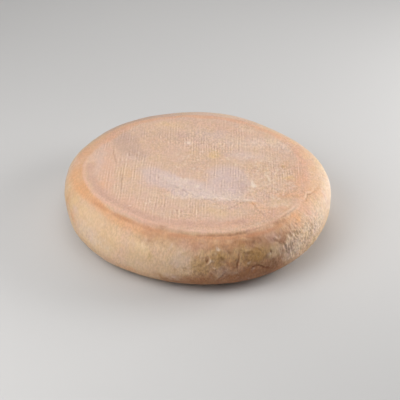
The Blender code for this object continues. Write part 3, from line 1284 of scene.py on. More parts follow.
    @staticmethod
    def distance(flat: np.ndarray, path: np.ndarray) -> tuple[np.ndarray, np.ndarray, np.ndarray]:
        """Where points lie beside a path.

        Args:
            flat: the points, laid out flat.
            path: the corners of the path, in the same metres.

        Returns:
            The distance, the side (-1 right of the path, 1 left of it) and the share of the way along.
        """
        lengths = np.linalg.norm(np.diff(path, axis=0), axis=1)
        passed = np.concatenate([[0.0], np.cumsum(lengths)])
        best = np.full(len(flat), np.inf)
        side = np.zeros(len(flat))
        along = np.zeros(len(flat))
        for start, end, length, before in zip(path, path[1:], lengths, passed):
            way = (end - start) / length
            place = np.clip((flat - start) @ way, 0.0, length)
            gap = flat - start - place[:, None] * way
            away = np.hypot(gap[:, 0], gap[:, 1])
            nearer = away < best
            best = np.where(nearer, away, best)
            turn = way[0] * gap[:, 1] - way[1] * gap[:, 0]
            side = np.where(nearer, turn / np.maximum(away, TINY), side)
            along = np.where(nearer, (before + place) / passed[-1], along)
        return best, side, along


@dataclass
class RindPatches:
    """Where the rind takes each of its colours, and where some tones stand for painted shade and painted rim
    light.

    A row of a table has a patch's centre and half sizes, its strength, and where they are given
    its turn in degrees and its edge.
    """

    tables: tuple[tuple[Tone, Chart, tuple[tuple[float, ...], ...]], ...] = (
        (Tone.PINK, Chart.TOP, (
            (63.0, -14.0, 10.0, 14.0, 0.4), (-4.0, -66.0, 46.0, 7.0, 0.7),
            (46.0, -50.0, 16.0, 9.0, 0.6, 38.0), (-61.0, -8.0, 9.0, 42.0, 0.6),
            (-42.0, -50.0, 10.0, 22.0, 0.6, 48.0), (68.0, 4.0, 5.0, 32.0, 0.7),
            (20.0, 56.0, 30.0, 8.0, 0.45, -12.0),
        )),
        (Tone.ORANGE, Chart.TOP, (
            (50.0, -25.0, 6.0, 4.0, 0.3), (42.0, -41.0, 16.0, 7.0, 0.3, 0.0, 0.5),
            (35.8, -38.3, 2.0, 2.0, 0.7), (-61.0, -27.0, 4.5, 9.0, 0.4), (-45.0, -10.0, 7.0, 8.0, 0.3),
            (63.0, -13.0, 8.0, 10.0, 0.35), (24.0, -61.0, 14.0, 4.0, 0.5, 24.0),
            (58.0, 12.0, 4.0, 6.0, 0.35), (61.0, -27.0, 10.0, 5.0, 0.55), (67.0, -3.0, 4.0, 11.0, 0.25),
        )),
        (Tone.OLIVE, Chart.TOP, (
            (56.4, 9.6, 1.8, 2.6, 0.6),
        )),
        (Tone.YELLOW, Chart.TOP, (
            (10.0, 21.0, 5.5, 6.0, 1.1), (-28.0, 16.0, 8.0, 12.0, 0.25), (-12.0, 8.0, 12.0, 9.0, 0.12),
            (-24.0, 57.0, 13.0, 6.0, 0.5), (50.0, -4.0, 10.0, 14.0, 0.25), (61.0, -5.0, 4.0, 4.0, 0.9),
            (12.0, -50.0, 14.0, 7.0, 0.4), (-50.0, -10.0, 8.0, 10.0, 0.45), (55.0, -37.0, 9.0, 7.0, 0.4),
        )),
        (Tone.LILAC, Chart.TOP, (
            (20.0, -15.0, 14.0, 21.0, 0.9, 0.0, 0.35), (-3.0, -26.0, 22.0, 11.0, 0.9, -20.0, 0.4),
            (-25.0, -13.0, 16.0, 10.0, 0.8, -34.0, 0.4), (-45.0, 10.0, 7.0, 5.0, 0.5, -30.0),
            (6.0, 46.0, 22.0, 8.0, 0.5), (34.0, 19.0, 14.0, 5.0, 0.5), (10.0, -4.0, 8.0, 6.0, 0.4),
            (24.0, 22.0, 12.0, 8.0, 0.4), (-67.0, 4.0, 4.0, 20.0, 0.5),
            (-60.0, -38.0, 5.0, 12.0, 0.35, 40.0), (-32.0, -21.0, 8.0, 6.0, 0.4),
        )),
        (Tone.GREY, Chart.TOP, (
            (-50.0, 27.0, 10.0, 15.0, 0.8, 20.0, 0.45), (-41.0, 14.0, 8.0, 6.0, 0.65, -35.0, 0.5),
            (-22.0, 42.0, 20.0, 6.0, 0.45, 0.0, 0.7), (-54.0, 43.0, 8.0, 7.0, 0.4),
            (-6.0, 8.0, 15.0, 8.0, 0.25), (29.5, -15.0, 3.6, 13.0, 0.45, 0.0, 0.5),
            (-6.0, -60.0, 36.0, 6.0, 0.22),
        )),
        (Tone.BLOOM, Chart.TOP, (
            (44.0, 38.0, 19.0, 8.0, 0.4), (38.0, 20.0, 13.0, 5.0, 0.25), (-8.0, -15.0, 4.0, 2.6, 0.55),
            (6.0, -34.0, 30.0, 3.6, 0.4), (8.0, -43.0, 22.0, 4.0, 0.25), (50.0, -39.0, 11.0, 3.6, 0.4),
            (-16.0, -35.0, 5.0, 3.6, 0.35), (-10.0, -20.0, 24.0, 7.0, 0.4, -32.0),
            (20.0, -30.0, 16.0, 7.0, 0.3), (16.0, 36.0, 24.0, 8.0, 0.3), (-8.2, 33.5, 1.7, 2.2, 1.5),
            (36.7, -17.0, 1.6, 2.0, 1.0), (-0.2, -21.7, 1.3, 1.3, 0.9), (-3.6, -0.2, 1.2, 1.8, 0.8),
            (32.8, -35.2, 3.0, 0.9, 0.8), (35.8, -14.5, 1.0, 4.5, 0.8), (46.5, -7.0, 1.0, 9.0, 0.6, 14.0),
            (58.0, 32.0, 4.0, 9.0, 0.45, 30.0), (32.0, 55.0, 10.0, 4.0, 0.4, -30.0),
            (25.0, -68.7, 8.0, 1.7, 0.3, 20.0), (39.0, -61.6, 8.0, 1.7, 0.3, 32.0),
        )),
        (Tone.PINK, Chart.SIDE, (
            (-29.4, 34.5, 9.0, 5.0, 0.8), (-88.0, 33.6, 16.0, 2.6, 0.8), (-65.0, 33.4, 14.0, 2.4, 0.4),
            (174.0, 35.5, 14.0, 5.0, 0.5),
        )),
        (Tone.ORANGE, Chart.SIDE, (
            (-37.9, 34.7, 4.5, 3.4, 0.8), (-152.0, 22.0, 5.0, 3.5, 0.7), (-116.0, 9.0, 14.0, 3.6, 0.55),
            (-12.0, 33.0, 5.0, 4.0, 0.5), (-44.0, 35.0, 13.0, 3.4, 0.4), (-112.0, 35.4, 16.0, 2.6, 0.35),
            (-78.0, 34.6, 20.0, 2.8, 0.45), (-74.5, 24.0, 3.6, 5.0, 0.65), (-67.0, 18.6, 9.0, 4.6, 0.7),
            (-68.0, 23.0, 10.0, 5.0, 0.3), (-76.0, 26.0, 8.0, 5.0, 0.35), (-66.0, 24.0, 5.0, 5.0, 0.25),
            (-160.0, 29.0, 7.0, 6.0, 0.35), (-150.0, 24.0, 6.0, 5.0, 0.25), (-85.0, 28.0, 4.0, 3.4, 0.35),
            (-165.0, 20.0, 8.0, 8.0, 0.3), (-172.0, 33.0, 9.0, 5.0, 0.35), (166.0, 10.0, 14.0, 4.0, 0.5),
            (24.0, 12.0, 16.0, 5.0, 0.4),
        )),
        # Brown rind; the rows centred 10 mm high and lower on the front are painted shade at the foot, and
        # the rows 33 to 35 mm high in front are partly painted shade under the lip.
        (Tone.BROWN, Chart.SIDE, (
            (-68.0, 19.0, 24.0, 15.0, 0.34), (-56.0, 33.4, 13.0, 4.4, 0.5), (-47.0, 34.6, 9.0, 3.6, 0.45),
            (-107.0, 35.0, 18.0, 3.8, 0.42), (-74.0, 34.4, 24.0, 2.8, 0.55), (-84.0, 20.0, 6.0, 8.0, 0.2),
            (-97.0, 9.0, 14.0, 5.0, 0.6), (-67.0, 16.0, 10.0, 5.0, 0.65), (-59.0, 14.0, 10.0, 8.0, 1.0),
            (-51.0, 30.6, 4.0, 3.0, 0.7), (-82.5, 15.0, 2.6, 3.4, 0.8), (-72.0, 8.0, 34.0, 7.0, 1.0),
            (-66.0, 10.0, 26.0, 6.0, 0.8), (-88.5, 10.0, 6.0, 4.0, 0.9), (-100.0, 5.0, 20.0, 4.0, 0.5),
            (-54.0, 17.0, 4.0, 5.0, 0.3), (-92.0, 34.0, 14.0, 4.0, 0.35), (-64.5, 34.6, 8.0, 2.4, 0.35),
            (-57.0, 9.5, 9.0, 5.0, 0.6), (-94.0, 13.0, 11.0, 4.0, 0.35), (96.0, 15.0, 15.0, 6.0, 0.7),
        )),
        # painted shade: two rows low on the front, one just under the lip
        (Tone.DIRT_AND_SHADE, Chart.SIDE, (
            (-58.0, 11.5, 6.0, 5.5, 0.5), (-70.0, 12.0, 10.0, 4.0, 0.15), (-65.0, 35.4, 9.0, 1.8, 0.35),
        )),
        (Tone.OLIVE, Chart.SIDE, (
            (-127.0, 35.0, 9.0, 2.6, 0.25), (-102.0, 12.0, 3.4, 4.0, 0.5), (-63.5, 27.0, 10.0, 6.0, 1.0),
            (-80.5, 27.5, 7.5, 5.5, 0.75), (-71.0, 30.0, 6.0, 4.0, 0.4), (-87.5, 22.0, 6.0, 9.0, 0.55),
            (-86.0, 19.0, 5.0, 5.0, 0.4), (-69.0, 21.0, 9.0, 5.0, 0.15), (-108.0, 27.5, 2.6, 6.0, 0.35),
            (-160.0, 27.0, 8.0, 8.0, 0.35), (-75.0, 28.0, 26.0, 5.0, 0.3), (112.0, 24.0, 13.0, 6.0, 0.7),
            (58.0, 18.0, 9.0, 9.0, 0.5),
        )),
        (Tone.YELLOW, Chart.SIDE, (
            (-150.0, 30.0, 14.0, 5.0, 0.5), (-128.0, 27.0, 12.0, 6.0, 0.35),
            (-108.0, 21.0, 14.0, 10.0, 0.35), (166.0, 26.0, 14.0, 8.0, 0.5),
        )),
        (Tone.LILAC, Chart.SIDE, (
            (-55.5, 33.6, 5.0, 1.6, 0.6), (-61.0, 31.4, 11.0, 1.6, 0.3), (-77.5, 15.6, 3.6, 3.6, 0.4),
            (-80.0, 22.6, 3.4, 3.6, 0.55), (-49.0, 24.0, 9.0, 8.0, 0.5), (-96.0, 25.0, 8.0, 6.0, 0.5),
            (-114.0, 18.0, 14.0, 6.0, 0.3), (-151.0, 28.0, 4.5, 3.0, 0.5), (-11.7, 31.5, 4.0, 4.0, 0.5),
            (80.0, 27.0, 12.0, 6.0, 0.7), (150.0, 20.0, 10.0, 8.0, 0.5),
        )),
        (Tone.BLOOM, Chart.SIDE, (
            (176.0, 33.0, 12.0, 7.0, 0.3), (2.0, 26.0, 30.0, 10.0, 0.7), (-28.0, 25.0, 16.0, 8.0, 0.55),
            (-43.5, 20.0, 8.0, 8.0, 0.55), (-98.0, 13.0, 6.0, 4.0, 0.4), (-138.0, 22.0, 22.0, 8.0, 0.4),
            # these two rows at the back are a painted rim light along the side's rear edge
            (128.0, 22.0, 18.0, 9.0, 0.5), (38.0, 26.0, 14.0, 9.0, 0.5),
        )),
    )
    front_specks: int = 70
    side_specks: int = 70
    speck_seed: int = 17
    front_middle: Pair = (-70.0, 22.0)
    front_spread: Pair = (13.0, 7.0)
    front_heights: Pair = (7.0, 34.0)
    front_tones: tuple[Tone, ...] = (Tone.DIRT_AND_SHADE, Tone.DIRT_AND_SHADE, Tone.BROWN, Tone.BLOOM)
    front_strength: float = 0.5
    side_heights: Pair = (8.0, 34.0)
    side_tones: tuple[Tone, ...] = (Tone.OLIVE, Tone.ORANGE, Tone.LILAC, Tone.BLOOM)
    side_strength: float = 0.4
    speck_length: Pair = (0.7, 2.4)
    speck_width: Pair = (0.6, 1.6)
    speck_share: Pair = (0.4, 1.2)
    speck_turn: float = 60.0
    warp: float = 2.4 * MM
    unwarped_reach: float = 4.0
    drift: tuple[NoiseLayer, NoiseLayer] = (NoiseLayer(6.0 * MM, 1.0, 51), NoiseLayer(6.0 * MM, 1.0, 52))
    fine_drift: tuple[NoiseLayer, NoiseLayer] = (NoiseLayer(2.4 * MM, 0.5, 53), NoiseLayer(2.4 * MM, 0.5, 54))
    band_line: tuple[Triple, ...] = (
        (-180.0, 77.0, 85.5), (-170.0, 76.8, 86.0), (-155.0, 76.5, 84.6), (-142.0, 75.6, 81.2),
        (-130.0, 75.6, 82.4), (-118.0, 75.8, 82.4), (-106.0, 74.8, 82.0), (-60.0, 76.8, 82.0),
        (-40.0, 76.2, 80.0), (-27.0, 73.5, 82.0), (-12.0, 71.0, 83.0), (0.0, 69.5, 83.0),
        (30.0, 71.3, 80.5), (60.0, 70.0, 75.3), (90.0, 69.0, 74.3), (120.0, 70.3, 75.3),
        (150.0, 68.0, 79.0), (167.0, 73.0, 83.0), (180.0, 77.0, 85.5),
    )
    band_shift: NoiseLayer = NoiseLayer(9.0 * MM, 1.1 * MM, 55)
    band_patches: NoiseLayer = NoiseLayer(13.0 * MM, 0.3, 56, 0.85)
    band_rise: float = 1.8 * MM
    band_fall: float = 3.2 * MM
    rear_fall: float = 1.8 * MM
    band_top: float = 9.0 * MM
    left_middle: float = math.radians(-146.0)
    left_span: float = math.radians(38.0)
    rear_middle: float = math.radians(95.0)
    rear_span: float = math.radians(75.0)
    shade_middle: float = math.radians(130.0)
    shade_span: float = math.radians(32.0)
    orange_shares: Triple = (0.26, 0.62, 0.16)
    most_orange: float = 0.9
    pink_shares: Pair = (0.3, 0.45)
    most_pink: float = 0.8
    rear_lilac: float = 0.55
    shade_grey: float = 0.8

    def all_patches(self) -> list[Patch]:
        """Every patch of the tables, then the specks.

        Returns:
            The patches.
        """
        placed = [
            Patch(tone, chart, row[:2], row[2:4], *row[4:])
            for tone, chart, rows in self.tables
            for row in rows
        ]
        return placed + self.specks()

    def specks(self) -> list[Patch]:
        """Small specks of dirt and bloom, many at the front and a few all round, the same each time.

        Returns:
            The patches of the specks.
        """
        draw = random.Random(self.speck_seed)
        specks = []
        lowest, highest = self.front_heights
        for number in range(self.front_specks + self.side_specks):
            if number < self.front_specks:
                azimuth = draw.gauss(self.front_middle[0], self.front_spread[0])
                height = min(highest, max(lowest, draw.gauss(self.front_middle[1], self.front_spread[1])))
                tone, strength = draw.choice(self.front_tones), self.front_strength
            else:
                azimuth, height = draw.uniform(*ALL_ROUND), draw.uniform(*self.side_heights)
                tone, strength = draw.choice(self.side_tones), self.side_strength
            reach = (draw.uniform(*self.speck_length), draw.uniform(*self.speck_width))
            share = strength * draw.uniform(*self.speck_share)
            turn = draw.uniform(-self.speck_turn, self.speck_turn)
            specks.append(Patch(tone, Chart.SIDE, (azimuth, height), reach, share, turn))
        return specks

    def weights(self, points: Surface) -> dict[Tone, np.ndarray]:
        """How strongly each colour shows at each point.

        Args:
            points: the settled wheel.

        Returns:
            For each tone its weights, from 0 to 1.
        """
        weights = {tone: np.zeros(len(points.places)) for tone in Tone}
        drift = drift_over(points.places, self.drift) + drift_over(points.places, self.fine_drift)
        covers = {kind: points.cover(kind) for kind in Chart}
        for patch in self.all_patches():
            small = min(1.0, min(patch.reach) / self.unwarped_reach)
            flat = points.chart(patch.chart, patch.centre) + self.warp * small * drift
            turn = math.radians(patch.turn)
            along = flat[:, 0] * math.cos(turn) + flat[:, 1] * math.sin(turn)
            across = flat[:, 1] * math.cos(turn) - flat[:, 0] * math.sin(turn)
            away = np.hypot(along / (patch.reach[0] * MM), across / (patch.reach[1] * MM))
            if patch.edge >= 1.0:
                soft = bell(away, 1.0)
            else:
                soft = 1.0 - smooth_step(1.0 - patch.edge, 1.0 + patch.edge, away)
            share = np.minimum(patch.strength * soft * covers[patch.chart], 1.0)
            weights[patch.tone] = 1.0 - (1.0 - weights[patch.tone]) * (1.0 - share)
        for tone, band in self.bands(points).items():
            weights[tone] = 1.0 - (1.0 - weights[tone]) * (1.0 - band)
        return {tone: np.clip(weight, 0.0, 1.0) for tone, weight in weights.items()}

    def bands(self, points: Surface) -> dict[Tone, np.ndarray]:
        """The warm ring outside the lip: orange at the left, pink at the rear and right, thin in front.

        Args:
            points: the settled wheel.

        Returns:
            The weights of its two tones, and of the lilac and grey rind outside it at the rear.
        """
        turns, radii, ends = np.array(self.band_line).T
        line = np.interp(np.degrees(points.azimuth), turns, radii) * MM
        end = np.interp(np.degrees(points.azimuth), turns, ends) * MM
        shift = self.band_shift.over(points.places)
        inside = smooth_step(-self.band_rise, self.band_rise, points.radius - line - shift)
        rear = bell(turn_between(points.azimuth, self.rear_middle), self.rear_span)
        fall = self.band_fall - (self.band_fall - self.rear_fall) * rear
        outside = smooth_step(-1.0, 1.0, (points.radius - end - shift) / fall)
        lowest = points.equator_height
        upper = smooth_step(lowest, lowest + self.band_top, points.places[:, 2])
        ring = inside * (1.0 - outside) * upper
        left = bell(turn_between(points.azimuth, self.left_middle), self.left_span)
        shade = bell(turn_between(points.azimuth, self.shade_middle), self.shade_span)
        patchy = self.band_patches.over(points.places)
        thin, at_left, at_rear = self.orange_shares
        orange = np.clip(thin + at_left * left + at_rear * rear, 0.0, self.most_orange)
        pink = np.clip(self.pink_shares[0] + self.pink_shares[1] * rear, 0.0, self.most_pink)
        return {
            Tone.ORANGE: np.clip(ring * orange * patchy, 0.0, 1.0),
            Tone.PINK: np.clip(ring * pink * patchy, 0.0, 1.0),
            Tone.LILAC: self.rear_lilac * rear * outside * upper * patchy,
            Tone.GREY: self.shade_grey * shade * outside * upper,
        }


class NodeSheet:
    """A material's node tree, with short ways to add the nodes that a rind needs."""

    noise_roughness: float = 0.55

    def __init__(self, material: bpy.types.Material) -> None:
        """Starts on a material's own tree.

        Args:
            material: the material.
        """
        self.tree = material.node_tree
        self.shader = material.node_tree.nodes["Principled BSDF"]
        self.coordinates = self.tree.nodes.new("ShaderNodeTexCoord").outputs["Object"]

    def join(self, source: object, socket: Socket) -> None:
        """Links a socket to another, or sets a plain value on it.

        Args:
            source: a socket, a number or a colour.
            socket: where it goes.
        """
        if isinstance(source, Socket):
            self.tree.links.new(source, socket)
        else:
            socket.default_value = source

    def weight(self, name: str) -> Socket:
        """The value that the mesh holds under a name.

        Args:
            name: the weight's name.

        Returns:
            The socket of its value.
        """
        node = self.tree.nodes.new("ShaderNodeAttribute")
        node.attribute_name = name
        return node.outputs["Fac"]

    def stretched(self, scale: Triple) -> Socket:
        """The object's coordinates, each multiplied by its own number.

        Args:
            scale: the number for each coordinate.

        Returns:
            The socket of the coordinates.
        """
        node = self.tree.nodes.new("ShaderNodeMapping")
        self.join(self.coordinates, node.inputs["Vector"])
        node.inputs["Scale"].default_value = scale
        return node.outputs["Vector"]

    def noise(self, size: float, detail: float, seed: float, stretch: Triple = (1.0, 1.0, 1.0)) -> Socket:
        """Noise of a real size.

        Args:
            size: how far apart its hills lie, in metres.
            detail: how many finer layers it has.
            seed: which noise.
            stretch: how much finer it is along each axis.

        Returns:
            The socket, from 0 to 1.
        """
        node = self.tree.nodes.new("ShaderNodeTexNoise")
        node.noise_dimensions = "4D"
        self.join(self.stretched(stretch), node.inputs["Vector"])
        node.inputs["W"].default_value = seed
        node.inputs["Scale"].default_value = 1.0 / size
        node.inputs["Detail"].default_value = detail
        node.inputs["Roughness"].default_value = self.noise_roughness
        return node.outputs["Fac"]

    def span(self, value: Socket, low: float, high: float, first: float = 0.0, last: float = 1.0) -> Socket:
        """Reads a value between two limits, smoothly.

        Args:
            value: what is read.
            low: where the result is first.
            high: where the result is last.
            first: the result at low and below.
            last: the result at high and above.

        Returns:
            The socket of the result.
        """
        node = self.tree.nodes.new("ShaderNodeMapRange")
        node.interpolation_type = "SMOOTHSTEP"
        self.join(value, node.inputs["Value"])
        for name, number in (("From Min", low), ("From Max", high), ("To Min", first), ("To Max", last)):
            node.inputs[name].default_value = number
        return node.outputs["Result"]

    def maths(self, operation: str, first: object, second: object) -> Socket:
        """One sum of two values.

        Args:
            operation: the name of the sum, such as ADD.
            first: a socket or a number.
            second: a socket or a number.

        Returns:
            The socket of the result.
        """
        node = self.tree.nodes.new("ShaderNodeMath")
        node.operation = operation
        self.join(first, node.inputs[0])
        self.join(second, node.inputs[1])
        return node.outputs["Value"]

    def blend(self, under: object, over: object, share: object, kind: str = "MIX") -> Socket:
        """Lays one colour over another.

        Args:
            under: a colour or a socket.
            over: a colour or a socket.
            share: how much of it shows, a number or a socket.
            kind: how the two are mixed.

        Returns:
            The socket of the mixed colour.
        """
        node = self.tree.nodes.new("ShaderNodeMix")
        node.data_type = "RGBA"
        node.blend_type = kind
        self.join(share, node.inputs["Factor"])
        self.join(under, node.inputs["A"])
        self.join(over, node.inputs["B"])
        return next(socket for socket in node.outputs if socket.type == "RGBA")


@dataclass(frozen=True)
class ToneFinish:
    """How one tone is laid on: its colour, the size of its grain, its raggedness and how fully it covers."""

    tone: Tone
    colour: Screen
    grain: float
    ragged: float
    cover: float


@dataclass(frozen=True)
class GroundLayer:
    """One broad mottling of the ground: its colour, noise, the noise's limits and its share."""

    colour: Screen
    size: float
    detail: float
    seed: float
    limits: Pair
    share: float


@dataclass(frozen=True)
class WeightLayer:
    """A colour laid on by one of the mesh's weights: where it begins to show, and its full share."""

    weight: str
    colour: Screen
    start: float
    share: float


@dataclass(frozen=True)
class Mottle:
    """Spots that make the rind darker and lighter: their size, how fine they are each way, and both ends."""

    size: float
    stretch: Triple
    dark: Triple
    light: Triple


@dataclass(frozen=True)
class RindFinish:
    """The rind's material: mottled cream and pink, with warm, olive, grey and white patches, some partly
    painted shade and painted light.

    Colours are given as a screen shows them, red, green and blue from 0 to 255.
    """

    top: Screen = (214, 181, 157)
    side: Screen = (220, 188, 152)
    # The colour of grooves and hollows: partly the rind's darker grooves, partly painted shade.
    groove: Screen = (186, 148, 128)
    # The pale of the print's crests: partly pale rind, partly a painted highlight.
    rib_pale_and_highlight: Screen = (238, 213, 191)
    # The pale of rolls, ridges and crumbs: partly pale rind, partly a painted highlight.
    crest_pale_and_highlight: Screen = (240, 220, 200)
    grounds: tuple[GroundLayer, ...] = (
        GroundLayer((212, 174, 138), 21.0 * MM, 2.0, 1.0, (0.4, 0.64), 0.3),
        GroundLayer((216, 176, 158), 12.0 * MM, 2.0, 2.0, (0.42, 0.66), 0.35),
        GroundLayer((230, 206, 186), 3.6 * MM, 3.0, 3.0, (0.48, 0.68), 0.14),
    )
    tones: tuple[ToneFinish, ...] = (
        ToneFinish(Tone.PINK, (220, 172, 147), 5.0 * MM, 0.15, 0.8),
        ToneFinish(Tone.YELLOW, (222, 188, 138), 4.0 * MM, 0.2, 0.8),
        ToneFinish(Tone.LILAC, (212, 187, 180), 4.0 * MM, 0.12, 0.85),
        ToneFinish(Tone.GREY, (196, 164, 147), 4.0 * MM, 0.15, 0.85),
        ToneFinish(Tone.ORANGE, (226, 168, 122), 5.0 * MM, 0.15, 0.85),
        ToneFinish(Tone.OLIVE, (184, 142, 80), 3.5 * MM, 0.35, 0.85),
        # brown rind, also used for painted shade low on the front and under the lip
        ToneFinish(Tone.BROWN, (160, 104, 66), 3.5 * MM, 0.35, 0.9),
        # the darkest brown, for painted shade and for dark specks of dirt
        ToneFinish(Tone.DIRT_AND_SHADE, (112, 74, 50), 3.0 * MM, 0.35, 0.8),
        # white bloom, also used for a painted rim light at the back
        ToneFinish(Tone.BLOOM, (236, 218, 202), 2.6 * MM, 0.4, 0.75),
    )
    tone_detail: float = 4.0
    first_tone_seed: float = 10.0
    tone_edge: float = 0.3
    weave_kinds: tuple[tuple[str, float, str], ...] = (
        ("rib_across", 1.0, "rib_upright"),
        ("rib_across", ClothPrint.pitch / ClothPrint.fine_pitch, "rib_fine"),
        ("rib_along", 1.0, "rib_level"),
    )
    weave_span: float = 1.2
    weave_shares: Pair = (0.65, 0.55)
    lines: tuple[WeightLayer, ...] = (
        # the lip's pale crest, partly a painted highlight
        WeightLayer("lip_crest_pink_and_highlight", (230, 187, 164), 0.1, 0.6),
        # the line at the lip's foot, painted shade with some stain
        WeightLayer("lip_stain_and_shade_line", (192, 132, 94), 0.1, 0.55),
        WeightLayer("lip_trough", (203, 162, 142), 0.0, 0.8),
        # darkens the skin's hollows: partly their own colour, partly painted shade
        WeightLayer("hollow", groove, 0.1, 0.4),
        WeightLayer("stain", (126, 72, 44), 0.0, 0.85),
    )
    crest_pale_and_highlight_share: float = 0.75
    mottles: tuple[Mottle, ...] = (
        Mottle(1.0 * MM, (1.0, 0.5, 0.5), (0.84, 0.82, 0.82), (1.12, 1.13, 1.12)),
        Mottle(2.4 * MM, (1.0, 0.6, 0.8), (0.98, 0.97, 1.01), (1.015, 1.01, 0.96)),
        Mottle(7.0 * MM, (1.0, 0.8, 0.8), (0.985, 0.97, 0.99), (1.01, 1.015, 0.985)),
    )
    mottle_share: Pair = (0.36, 1.0)
    mottle_detail: float = 2.0
    mottle_limits: Pair = (0.34, 0.66)
    first_mottle_seed: float = 4.0
    grain_size: float = 1.3 * MM
    grain_detail: float = 3.0
    grain_seed: float = 5.0
    grain_bump: Pair = (0.08 * MM, 0.42 * MM)
    weave_bump: float = 0.045 * MM
    sheen_size: float = 5.0 * MM
    sheen_detail: float = 3.0
    sheen_seed: float = 7.0
    sheen_limits: Pair = (0.3, 0.7)
    roughness: Pair = (0.5, 0.72)
    specular: float = 0.35
    subsurface: float = 0.12
    subsurface_scale: float = 3.0 * MM
    subsurface_radius: Triple = (1.0, 0.55, 0.3)

    def ground(self, sheet: NodeSheet) -> Socket:
        """The mottled ground colour of the top and the side.

        Args:
            sheet: the material's nodes.

        Returns:
            The socket of the colour.
        """
        ground = sheet.blend(linear(*self.side), linear(*self.top), sheet.weight("top"))
        for layer in self.grounds:
            spots = sheet.span(sheet.noise(layer.size, layer.detail, layer.seed), *layer.limits)
            ground = sheet.blend(ground, linear(*layer.colour), sheet.maths("MULTIPLY", spots, layer.share))
        return ground

    def toned(self, sheet: NodeSheet, colour: Socket) -> Socket:
        """Lays each tone over the ground, with an edge broken up by noise.

        Args:
            sheet: the material's nodes.
            colour: the colour so far.

        Returns:
            The socket of the colour.
        """
        for number, finish in enumerate(self.tones):
            grain = sheet.noise(finish.grain, self.tone_detail, self.first_tone_seed + number)
            lift = sheet.maths("MULTIPLY", sheet.maths("SUBTRACT", grain, 0.5), finish.ragged * 2.0)
            weight = sheet.weight(finish.tone.value)
            spread = sheet.maths("MULTIPLY", lift, sheet.span(weight, 0.0, self.tone_edge))
            share = sheet.span(sheet.maths("ADD", weight, spread), 0.0, 1.0, 0.0, finish.cover)
            colour = sheet.blend(colour, linear(*finish.colour), share)
        return colour

    def weave(self, sheet: NodeSheet) -> Socket:
        """The height of the cloth's print, from the places and depths that the mesh holds.

        Args:
            sheet: the material's nodes.

        Returns:
            The socket of the height.
        """
        ribs = []
        for place, count, depth in self.weave_kinds:
            turn = sheet.maths("MULTIPLY", sheet.weight(place), count * math.tau)
            ribs.append(sheet.maths("MULTIPLY", sheet.maths("COSINE", turn, 0.0), sheet.weight(depth)))
        return sheet.maths("ADD", sheet.maths("ADD", ribs[0], ribs[1]), ribs[2])

    def flecked(self, sheet: NodeSheet, colour: Socket) -> Socket:
        """Adds the print's pale crests, the lip's lines, the dark of the cracks and the finest flecks.

        Args:
            sheet: the material's nodes.
            colour: the colour so far.

        Returns:
            The socket of the colour.
        """
        weave = self.weave(sheet)
        high, low = (
            sheet.span(weave, 0.0, end, 0.0, share)
            for end, share in zip((self.weave_span, -self.weave_span), self.weave_shares)
        )
        # Crests paled and grooves darkened by the print's height: partly the rind's colour, partly painted
        # highlight and painted shade.
        colour = sheet.blend(colour, linear(*self.rib_pale_and_highlight), high)
        colour = sheet.blend(colour, linear(*self.groove), low)
        for line in self.lines:
            share = sheet.span(sheet.weight(line.weight), line.start, 1.0, 0.0, line.share)
            colour = sheet.blend(colour, linear(*line.colour), share)
        coarse = sheet.span(sheet.weight("rough"), 0.0, 1.0, *self.mottle_share)
        for mottle in self.mottles:
            seed = self.first_mottle_seed + mottle.size / MM
            grain = sheet.noise(mottle.size, self.mottle_detail, seed, mottle.stretch)
            spots = sheet.span(grain, *self.mottle_limits)
            light = sheet.blend((*mottle.dark, 1.0), (*mottle.light, 1.0), spots)
            colour = sheet.blend(colour, light, coarse, "MULTIPLY")
        # rolls, ridges and crumbs are paled, partly as a painted highlight
        crest_pale_and_highlight = sheet.span(sheet.weight("crest"), 0.0, 1.0, 0.0, self.crest_pale_and_highlight_share)
        return sheet.blend(colour, linear(*self.crest_pale_and_highlight), crest_pale_and_highlight)

    def bump(self, sheet: NodeSheet) -> Socket:
        """The grain and the threads that are too fine for the mesh.

        Args:
            sheet: the material's nodes.

        Returns:
            The socket of the bumped normal.
        """
        grain = sheet.tree.nodes.new("ShaderNodeBump")
        rough = sheet.span(sheet.weight("rough"), 0.0, 1.0, *self.grain_bump)
        sheet.join(rough, grain.inputs["Distance"])
        grain.inputs["Strength"].default_value = 1.0
        sheet.join(sheet.noise(self.grain_size, self.grain_detail, self.grain_seed), grain.inputs["Height"])
        weave = sheet.tree.nodes.new("ShaderNodeBump")
        weave.inputs["Distance"].default_value = self.weave_bump
        weave.inputs["Strength"].default_value = 1.0
        sheet.join(self.weave(sheet), weave.inputs["Height"])
        sheet.join(grain.outputs["Normal"], weave.inputs["Normal"])
        return weave.outputs["Normal"]

    def material(self) -> bpy.types.Material:
        """The finished material.

        Returns:
            The material.
        """
        material = bpy.data.materials.new("washed_rind")
        material.use_nodes = True
        sheet = NodeSheet(material)
        shader = sheet.shader
        colour = self.flecked(sheet, self.toned(sheet, self.ground(sheet)))
        sheet.join(colour, shader.inputs["Base Color"])
        sheen = sheet.noise(self.sheen_size, self.sheen_detail, self.sheen_seed)
        sheet.join(sheet.span(sheen, *self.sheen_limits, *self.roughness), shader.inputs["Roughness"])
        sheet.join(self.bump(sheet), shader.inputs["Normal"])
        shader.inputs["Specular IOR Level"].default_value = self.specular
        shader.inputs["Subsurface Weight"].default_value = self.subsurface
        shader.inputs["Subsurface Scale"].default_value = self.subsurface_scale
        shader.inputs["Subsurface Radius"].default_value = self.subsurface_radius
        return material


